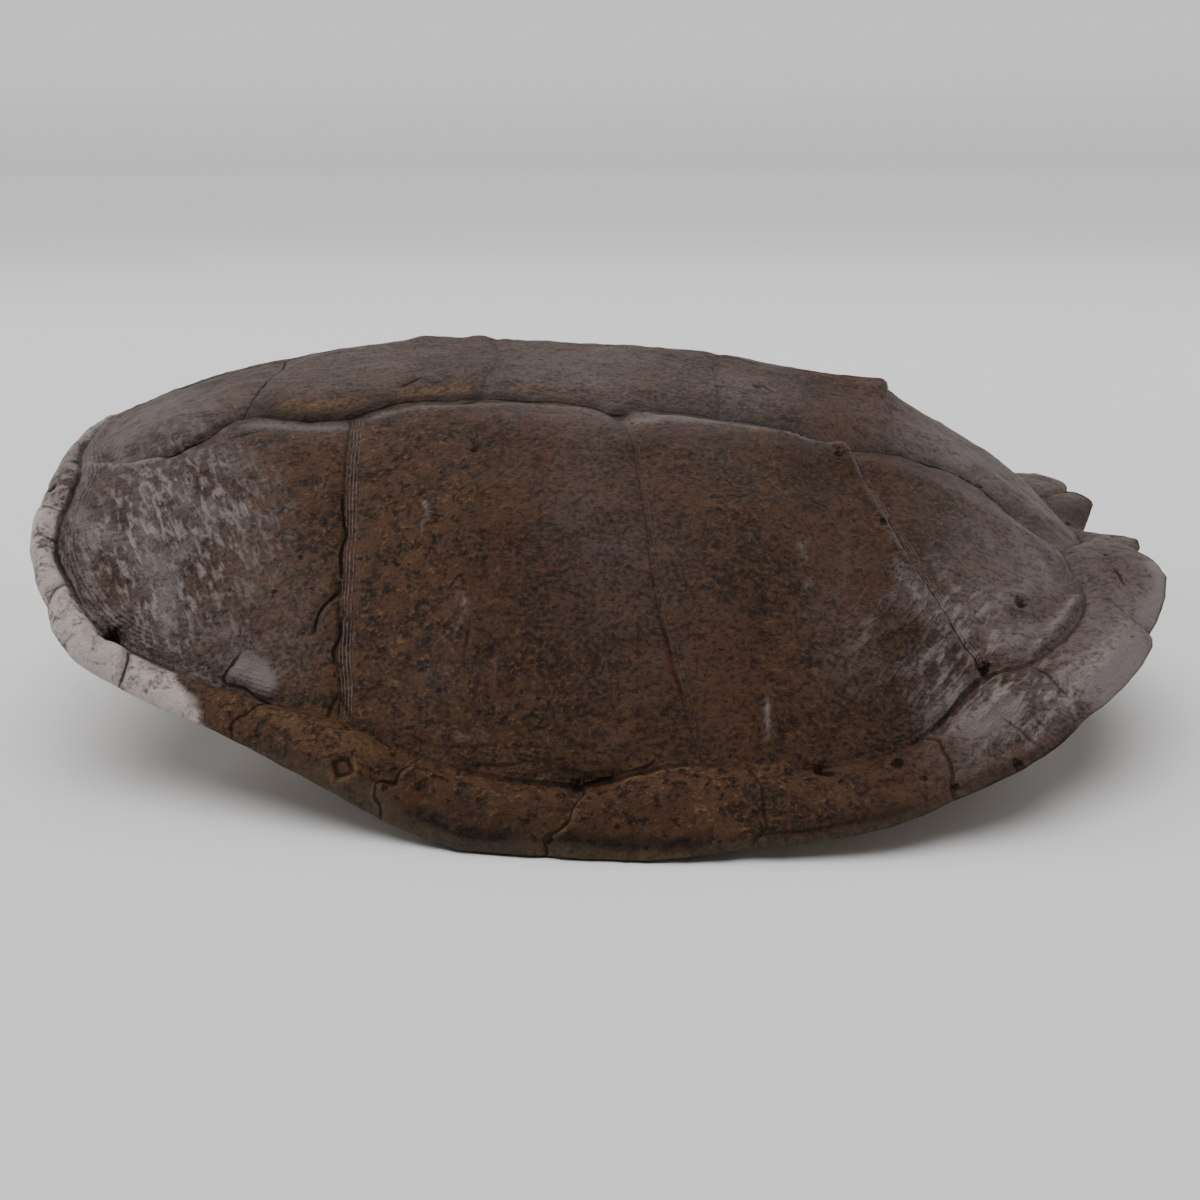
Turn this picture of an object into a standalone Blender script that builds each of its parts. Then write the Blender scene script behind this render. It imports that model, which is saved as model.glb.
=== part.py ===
"""Turtle carapace: a domed, low-keeled shell with scute seams, a marginal rim and a toothed rear edge.

Frame: metres, +Z up, the shell resting on the left and right stretches of its rim at z = 0.
X runs along the shell, the head end at -X and the tail end at +X; the animal's left side is at -Y.
All tables below are in millimetres and give one side; the other side is its mirror image in y.
"""
import bpy
import bmesh
import numpy as np

MM = 0.001

# grids: cells along each edge of the square that is wrapped onto the shell
OUTER_CELLS = 56
INNER_CELLS = 28
RIM_RINGS = 5                   # outer rings that make the marginal band
WALL = 5.0                      # bone and horn together, under the dome
EDGE_WIDTH = 6.5                # width of the turned-under edge that the shell rests on

# The seam between the costal and vertebral scutes and the marginal scutes:
# count of marginal seams from the front middle to the rear middle, x, distance from the middle, z
INNER_SEAM = [
    (0.0, -163.5, 0, 78.5), (1.0, -163, 23, 76.5), (1.35, -161, 37, 74.5), (1.7, -155.5, 54, 71.5),
    (2.0, -155, 70, 65), (3.0, -147, 90, 48), (4.0, -127, 105, 36), (5.0, -87, 118, 27), (5.45, -69, 124, 25),
    (6.0, -47, 132, 18), (7.0, -7, 139, 14), (7.75, 23, 136, 18), (8.0, 36, 136, 17), (9.0, 79, 125, 22),
    (9.5, 95, 111, 32), (10.0, 109, 104, 34), (11.0, 130, 74, 42), (11.6, 130, 48, 48), (12.0, 141, 27, 45.5),
    (12.5, 143.5, 12, 44.2), (13.0, 142, 0, 44.4),
]
# The free edge, at the seam between each two marginals
FREE_EDGE = [
    (0, -168, 0, 74), (1, -168, 24, 72.5), (2, -163.5, 66, 63), (3, -151, 97, 45), (4, -127, 116, 29.4),
    (5, -94, 130, 20.5), (5.5, -75, 137, 13.2), (6, -55, 143, 5), (7, -15, 151.5, -1.0), (8, 34, 152, 3.2),
    (9, 83, 143, 12), (10, 119, 120, 23.5), (11, 145, 85, 35), (12, 154, 40, 45.5), (13, 149, 0, 40),
]
# Each marginal's point beyond that edge: reach outwards, place along the scute from 0 to 1, lift
TEETH = [
    (0.0, 0.5, 0), (0.0, 0.5, 0), (1.5, 0.5, 0), (2.5, 0.45, -0.6), (0.3, 0.7, 0.5), (0.3, 0.75, 0.7),
    (0.8, 0.5, 0), (0.5, 0.5, 0), (1.2, 0.6, -1.1), (1.8, 0.65, 0.6), (2.0, 0.78, 0.5), (3.8, 0.5, 3.2),
    (5.5, 0.42, 1.5),
]
# Roll of each marginal's inner lip: height, and place across the band from the seam to the edge
LIPS = [
    (0.9, 0.35), (2.2, 0.35), (2.8, 0.35), (2.8, 0.35), (2.2, 0.4), (1.8, 0.4), (2.0, 0.4),
    (1.8, 0.4), (1.6, 0.4), (1.3, 0.4), (1.2, 0.35), (1.4, 0.3), (0.0, 0.3),
]
# The middle line of the dome: x, z
MIDDLE = [
    (-150, 85.5), (-130, 91.5), (-107, 96.5), (-75, 101.5), (-42, 102.5), (0, 100.5), (34, 98.5), (60, 92.5),
    (84, 86), (105, 74), (121, 64), (134, 53),
]
# Corners where vertebral and costal scutes meet: x, distance from the middle, z
CORNERS = {
    "v1_v2": (-110, 47, 89), "c1_c2": (-77, 53, 88), "v2_v3": (-39, 46, 94), "c2_c3": (0, 52, 90),
    "v3_v4": (29, 44, 88), "c3_c4": (65, 45, 79), "v4_v5": (88, 29, 74), "c4_back": (109, 34, 66),
}
# Fullness of the four costal scutes: x, distance from the middle, z
CROWNS = [(-108, 84, 68), (-35, 98, 66), (42, 95, 62), (103, 72, 55)]
# Seams on the dome, through points (x, distance from the middle)
SEAMS = {
    "v1_v2": [(-107, 0), (-106, 22), (-110, 47)],
    "v2_v3": [(-42, 0), (-38, 22), (-39, 46)],
    "v3_v4": [(34, 0), (32, 22), (29, 44)],
    "v4_v5": [(85, 0), (84, 14), (88, 29)],
    "vertebral_edge": [
        (-156, 52.5), (-136, 57), (-122, 54), (-110, 47), (-99, 51), (-88, 53), (-77, 53), (-62, 48), (-39, 46),
        (-20, 49), (0, 52), (14, 47), (29, 44), (47, 45), (65, 45), (75, 38), (88, 29), (98, 30), (109, 34),
        (118, 42), (130, 48),
    ],
    "c1_c2": [(-77, 53), (-75, 70), (-71, 92), (-70, 107), (-69, 124)],
    "c2_c3": [(0, 52), (6, 66), (9, 88), (12, 108), (17, 124), (23, 136)],
    "c3_c4": [(65, 45), (71, 63), (77, 80), (86, 97), (95, 111)],
}
# Valley along each seam: depth, half width
VALLEYS = {
    "v1_v2": (0.8, 4), "v2_v3": (1.2, 5), "v3_v4": (1.0, 4), "v4_v5": (1.8, 4), "vertebral_edge": (2.4, 8),
    "c1_c2": (1.4, 5), "c2_c3": (1.3, 5), "c3_c4": (1.8, 6), "inner_seam": (2.0, 5), "marginal": (0.9, 3),
}
# Keels and knobs: x and y of the crest's two ends, height at each end, half width
KEELS = [
    (-125, 0, -62, 0, 0.4, 1.8, 9), (-60, 0, -46, 0, 1.3, 1.0, 8), (-36, 0, 4, 0, 0.9, 0.8, 9),
    (4, 0, 29, 0, 0.7, 0.9, 9), (44, 0, 80, 0, -0.6, 3.2, 8), (92, 0, 128, 0, 0.8, 1.2, 8),
    (-100, 66, -82, 64, 0.5, 1.2, 9), (-60, 60, -10, 62, 0.8, 2.2, 9), (8, 62, 60, 55, 1.6, 3.0, 8),
    (74, 50, 122, 55, 2.2, 1.6, 8),
]
BACKBONE = (-118, 112, 6.0, 8.0)   # ridge under the middle: x from, x to, height, half width

HORN_COLOUR = (0.085, 0.055, 0.043, 1.0)
HORN_ROUGHNESS = 0.45


def clear_scene():
    """Remove the objects that are in the scene."""
    for thing in list(bpy.data.objects):
        bpy.data.objects.remove(thing, do_unlink=True)


def horn_material():
    """Dark brown, softly shining horn."""
    horn = bpy.data.materials.new("scute_horn")
    horn.use_nodes = True
    shader = horn.node_tree.nodes["Principled BSDF"]
    shader.inputs["Base Color"].default_value = HORN_COLOUR
    shader.inputs["Roughness"].default_value = HORN_ROUGHNESS
    shader.inputs["Metallic"].default_value = 0.0
    horn.diffuse_color = HORN_COLOUR
    return horn


def ring_curve(table, count):
    """Points of a closed ring at the seam counts given, 0 to 26 round the left side and back by the right.

    A cubic through the table's points, with slopes from their neighbours; the right half is the mirror image.
    """
    left = np.array(table, float) * (1, 1, -1, 1)
    right = left[-2:0:-1] * (-1, 1, -1, 1) + (26, 0, 0, 0)
    full = np.vstack([left, right])
    full = np.vstack([full[-3:] - (26, 0, 0, 0), full, full[:3] + (26, 0, 0, 0)])
    knots = full[:, 0]
    points = full[:, 1:]
    gap = np.diff(knots)[:, None]
    slope = np.diff(points, axis=0) / gap
    tangent = np.vstack([slope[:1], (gap[1:] * slope[:-1] + gap[:-1] * slope[1:]) / (gap[1:] + gap[:-1]), slope[-1:]])
    count = np.mod(count, 26)
    i = np.searchsorted(knots, count, "right") - 1
    step = (knots[i + 1] - knots[i])[..., None]
    u = (count - knots[i])[..., None] / step
    start = (2 * u ** 3 - 3 * u ** 2 + 1) * points[i] + (u ** 3 - 2 * u ** 2 + u) * step * tangent[i]
    return start + (3 * u ** 2 - 2 * u ** 3) * points[i + 1] + (u ** 3 - u ** 2) * step * tangent[i + 1]


def scute_place(count):
    """Number of the marginal at each seam count, 0 for the nuchal, and the place along it from 0 to 1."""
    side = np.mod(count, 26)
    side = np.where(side > 13, 26 - side, side)
    number = np.minimum(side.astype(int), 12)
    return number, side - number


def outward(count):
    """Unit direction in plan, square to the free edge and away from the middle."""
    ahead = ring_curve(FREE_EDGE, count + 0.02) - ring_curve(FREE_EDGE, count - 0.02)
    side = np.stack([-ahead[..., 1], ahead[..., 0], 0 * ahead[..., 0]], -1)
    side /= np.linalg.norm(side, axis=-1, keepdims=True)
    return side * np.sign((side * ring_curve(FREE_EDGE, count)).sum(-1, keepdims=True))


def free_edge(count):
    """The shell's lowest edge, with each marginal's tooth as two half parabolas; flat where it rests."""
    number, place = scute_place(count)
    reach, peak, lift = np.array(TEETH, float)[number].T
    far = np.where(place < peak, peak - place, place - peak) / np.where(place < peak, peak, 1 - peak)
    tooth = (1 - far ** 2)[..., None]
    edge = ring_curve(FREE_EDGE, count) + outward(count) * reach.T[..., None] * tooth
    edge = edge + tooth * lift.T[..., None] * (0, 0, 1)
    edge[..., 2] = np.maximum(edge[..., 2], 0)
    return edge


def plate_weight(square_of_distance):
    """The bending plate's kernel, r squared times log r."""
    return 0.5 * square_of_distance * np.log(np.maximum(square_of_distance, 1e-9))


def dome_plate():
    """Centres and weights of the smoothly bent plate through the ring, the middle line, corners and crowns."""
    counts = np.append(np.arange(0, 26, 0.5), [11.6, 14.4])
    points = [tuple(p) for p in ring_curve(INNER_SEAM, counts)]
    points += [(x, 0, z) for x, z in MIDDLE]
    points += [(x, side * y, z) for side in (-1, 1) for x, y, z in list(CORNERS.values()) + CROWNS]
    points = np.array(points, float)
    flat = points[:, :2]
    bend = plate_weight(((flat[:, None] - flat[None]) ** 2).sum(-1)) + 200.0 * np.eye(len(flat))
    plane = np.hstack([np.ones((len(flat), 1)), flat])
    system = np.block([[bend, plane], [plane.T, np.zeros((3, 3))]])
    return flat, np.linalg.solve(system, np.append(points[:, 2], [0, 0, 0]))


def dome_height(plate, flat):
    """Height of the bent plate over each plan point."""
    centres, weights = plate
    height = weights[-3] + weights[-2] * flat[..., 0] + weights[-1] * flat[..., 1]
    for centre, weight in zip(centres, weights):
        height = height + weight * plate_weight(((flat - centre) ** 2).sum(-1))
    return height


def wrap_square(a, b):
    """Ring number from 0 to 1 and seam count of each point of a square wrapped onto the shell.

    Rings of the square become rings of the shell; +a is the tail end and -b the left side.
    """
    ring = np.maximum(abs(a), abs(b))
    along = abs(a) >= abs(b)
    angle = np.where(
        along,
        np.pi / 4 * b / np.where(a == 0, 1, a) + np.where(a < 0, np.pi, 0),
        np.pi / 2 - np.pi / 4 * a / np.where(b == 0, 1, b) + np.where(b < 0, np.pi, 0),
    )
    angle = np.mod(angle + np.pi, 2 * np.pi)
    counts = np.linspace(0, 26, 521)
    edge = ring_curve(FREE_EDGE, counts)
    turn = np.unwrap(np.arctan2(edge[:, 1] / 152, edge[:, 0] / 168))
    return ring, np.interp(angle, abs(turn - turn[0]), counts)


def base_point(ring, count, split, plate, flat=None):
    """Smooth shell without relief: the bent plate inside the inner seam, then a straight band to the edge."""
    seam = ring_curve(INNER_SEAM, count)
    if flat is None:
        flat = seam[..., :2] * np.minimum(ring / split, 1)[..., None]
    dome = np.concatenate([flat, dome_height(plate, flat)[..., None]], -1)
    across = np.clip((ring - split) / (1 - split), 0, 1)[..., None]
    band = seam + (free_edge(count) - seam) * across
    return np.where(ring[..., None] > split + 1e-6, band, dome)


def seam_lines():
    """Every seam of the dome as closely spaced plan points, with both sides."""
    lines = {}
    for name, points in SEAMS.items():
        table = np.array(points, float)
        walk = np.append(0, np.cumsum(np.linalg.norm(np.diff(table, axis=0), axis=1)))
        fine = np.arange(0, walk[-1], 0.4)
        x = np.append(np.interp(fine, walk, table[:, 0]), table[-1, 0])
        y = np.append(np.interp(fine, walk, table[:, 1]), table[-1, 1])
        lines[name] = np.vstack([np.stack([x, -y], -1), np.stack([x, y], -1)])
    return lines


def nearest(flat, line):
    """Distance of each plan point to a line of points, and the nearest of them."""
    gap = ((flat[:, None] - line[None]) ** 2).sum(-1)
    best = gap.argmin(1)
    return np.sqrt(gap.min(1)), line[best]


def relief(flat, dome, distance, across, count, on_band):
    """Height of the relief above the smooth shell: keels and knobs, less the seam valleys, and the lip."""
    height = np.zeros(len(flat))
    for x0, y0, x1, y1, h0, h1, width in KEELS:
        for side in ((-1, 1) if y0 else (1,)):
            start = np.array([x0, y0 * side], float)
            run = np.array([x1, y1 * side], float) - start
            along = np.clip(((flat - start) @ run) / (run @ run), 0, 1)
            off = np.linalg.norm(flat - start - along[:, None] * run, axis=1)
            height += (h0 + (h1 - h0) * along) * np.exp(-(off / width) ** 2)
    for name, gap in distance.items():
        depth, width = VALLEYS[name]
        height -= depth * np.exp(-(gap / width) ** 2)
    number, place = scute_place(count)
    lip, peak = np.array(LIPS, float)[number].T
    rise = np.where(across < peak, across / peak, 1 - ((across - peak) / (1 - peak)) ** 3)
    band = lip * rise + 1.6 * np.sqrt(np.clip(1 - across ** 4, 0, 1)) * np.minimum(across * 4, 1)
    depth, width = VALLEYS["marginal"]
    band -= depth * np.exp(-(np.minimum(place, 1 - place) / 0.12) ** 2) * (number > 0) * np.minimum(across * 2, 1)
    band *= across < 1
    return np.where(on_band, band - VALLEYS["inner_seam"][0] * np.exp(-(across / 0.2) ** 2) * (across < 1), height)


def sheet(bm, cells):
    """A square grid as numpy coordinates a and b, sorted along both, and its vertices in that order."""
    made = bmesh.ops.create_grid(bm, x_segments=cells, y_segments=cells, size=1.0)["verts"]
    made = sorted(made, key=lambda v: (round(v.co.x * cells), round(v.co.y * cells)))
    steps = np.linspace(-1, 1, cells + 1)
    a, b = np.meshgrid(steps, steps, indexing="ij")
    return made, a.ravel(), b.ravel()


def normals(points, cells):
    """Outward normals of a grid of points, softened over their neighbours."""
    grid = points.reshape(cells + 1, cells + 1, 3)
    normal = np.cross(np.gradient(grid, axis=0), np.gradient(grid, axis=1))
    for _ in range(2):
        wide = np.pad(normal, ((1, 1), (1, 1), (0, 0)), mode="edge")
        normal = wide[2:, 1:-1] + wide[:-2, 1:-1] + wide[1:-1, 2:] + wide[1:-1, :-2] + 2 * normal
    normal = normal.reshape(-1, 3)
    return normal / np.linalg.norm(normal, axis=1, keepdims=True)


def outer_points(a, b, plate):
    """The outside of the shell, with grid points moved onto the seams; also which points lie on a seam."""
    rings = OUTER_CELLS // 2
    split = (rings - RIM_RINGS) / rings
    ring, count = wrap_square(a, b)
    on_band = ring > split - 1e-6
    special = np.append(np.arange(1, 13), [5.45, 7.75, 9.5, 11.6])
    special = np.append(special, 26 - special)
    spacing = 26 / (8 * np.maximum(ring, 0.05) * rings)
    on_seam = abs(ring - split) < 1e-6
    for value in special:
        inside = on_band if float(value).is_integer() else abs(ring - split) < 1e-6
        close = inside & (abs(count - value) < 0.5 * spacing)
        count[close] = value
        on_seam |= close
    flat = ring_curve(INNER_SEAM, count)[:, :2] * np.minimum(ring / split, 1)[:, None]
    free = ~on_band
    lines = seam_lines()
    every = np.vstack(list(lines.values()))
    ends = np.array([(x, s * y) for x, y, _ in CORNERS.values() for s in (-1, 1)], float)
    ends = np.vstack([ends, [(line[0][0], 0) for line in SEAMS.values() if line[0][1] == 0]])
    for end in ends:
        gap = np.linalg.norm(flat - end, axis=1) + 99 * ~free
        middle = abs(b) < 1e-9
        gap += 99 * (middle != (abs(end[1]) < 1e-9))
        pick = gap.argmin()
        flat[pick] = end
        free[pick] = False
        on_seam[pick] = True
    gap, place = nearest(flat, every)
    close = free & (gap < 0.42 * 2 * 150 / OUTER_CELLS) & (abs(b) > 1e-9)
    flat[close] = place[close]
    on_seam |= close
    points = base_point(ring, count, split, plate, flat)
    distance = {name: nearest(flat, line)[0] for name, line in lines.items()}
    distance["inner_seam"] = nearest(flat, ring_curve(INNER_SEAM, np.arange(0, 26, 0.02))[:, :2])[0]
    across = np.clip((ring - split) / (1 - split), 0, 1)
    height = relief(flat, points, distance, across, count, on_band)
    return points + normals(points, OUTER_CELLS) * height[:, None], on_seam


def inner_points(a, b, plate):
    """The hollow underneath: the smooth shell set in by the wall, with the ridge of the backbone."""
    rings = INNER_CELLS // 2
    split = (rings - RIM_RINGS / 2) / rings
    ring, count = wrap_square(a, b)
    points = base_point(ring, count, split, plate)
    under = points - WALL * normals(points, INNER_CELLS)
    start, stop, height, width = BACKBONE
    run = np.clip(np.minimum(points[:, 0] - start, stop - points[:, 0]) / 20, 0, 1)
    under[:, 2] -= height * run * np.exp(-(points[:, 1] / width) ** 2)
    edge = ring_curve(FREE_EDGE, count) - EDGE_WIDTH * outward(count)
    edge[:, 2] = np.maximum(free_edge(count)[:, 2], 0)
    across = np.clip((ring - split) / (1 - split), 0, 1)[:, None]
    return np.where(across > 0, under + (edge - under) * across ** 1.5, under)


def boundary(cells):
    """Positions in a sorted grid of its outermost points, once round."""
    side = cells + 1
    return (
        [i * side for i in range(cells)] + [cells * side + j for j in range(cells)]
        + [i * side + cells for i in range(cells, 0, -1)] + [j for j in range(cells, 0, -1)]
    )


def split_cells(bm, verts, on_seam, cells):
    """Cut each cell of the outside in two, along the seam where one crosses it, or else the shorter way."""
    number = {vert: i for i, vert in enumerate(verts)}
    for face in [f for f in bm.faces if all(v in number for v in f.verts)]:
        p, q, r, s = face.verts
        first = on_seam[number[p]] and on_seam[number[r]]
        second = on_seam[number[q]] and on_seam[number[s]]
        if first == second:
            first = (p.co - r.co).length < (q.co - s.co).length
        ends = (p, r) if first else (q, s)
        bmesh.utils.face_split(face, *ends)


def carapace():
    """One closed shell: outside, hollow inside, and the flat turned-under edge that joins them."""
    plate = dome_plate()
    bm = bmesh.new()
    outer, a, b = sheet(bm, OUTER_CELLS)
    points, on_seam = outer_points(a, b, plate)
    for vert, point in zip(outer, points * MM):
        vert.co = point
    inner, a, b = sheet(bm, INNER_CELLS)
    for vert, point in zip(inner, inner_points(a, b, plate) * MM):
        vert.co = point
    split_cells(bm, outer, on_seam, OUTER_CELLS)
    around = [outer[i] for i in boundary(OUTER_CELLS)]
    under = [inner[i] for i in boundary(INNER_CELLS)]
    ratio = OUTER_CELLS // INNER_CELLS
    for i in range(len(under)):
        j = (i + 1) % len(under)
        fan = [around[(i * ratio + k) % len(around)] for k in range(ratio + 1)]
        for one, two in zip(fan[:-1], fan[1:]):
            bm.faces.new((one, two, under[i]))
        bm.faces.new((fan[-1], under[j], under[i]))
    bmesh.ops.triangulate(bm, faces=[f for f in bm.faces if len(f.verts) > 3], quad_method="SHORT_EDGE")
    bmesh.ops.recalc_face_normals(bm, faces=bm.faces)
    mesh = bpy.data.meshes.new("carapace")
    bm.to_mesh(mesh)
    bm.free()
    low = np.array([v.co for v in mesh.vertices]).min(0)
    high = np.array([v.co for v in mesh.vertices]).max(0)
    for vert in mesh.vertices:
        vert.co.x -= (low[0] + high[0]) / 2
    mesh.shade_smooth()
    mesh.set_sharp_from_angle(angle=0.9)
    mesh.materials.append(horn_material())
    return bpy.data.objects.new("carapace", mesh)


clear_scene()
parts = bpy.data.collections.new("turtle_shell")
bpy.context.scene.collection.children.link(parts)
parts.objects.link(carapace())
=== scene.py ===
import bpy
from functools import reduce
import numpy as np
from mathutils import Matrix, Vector


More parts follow.
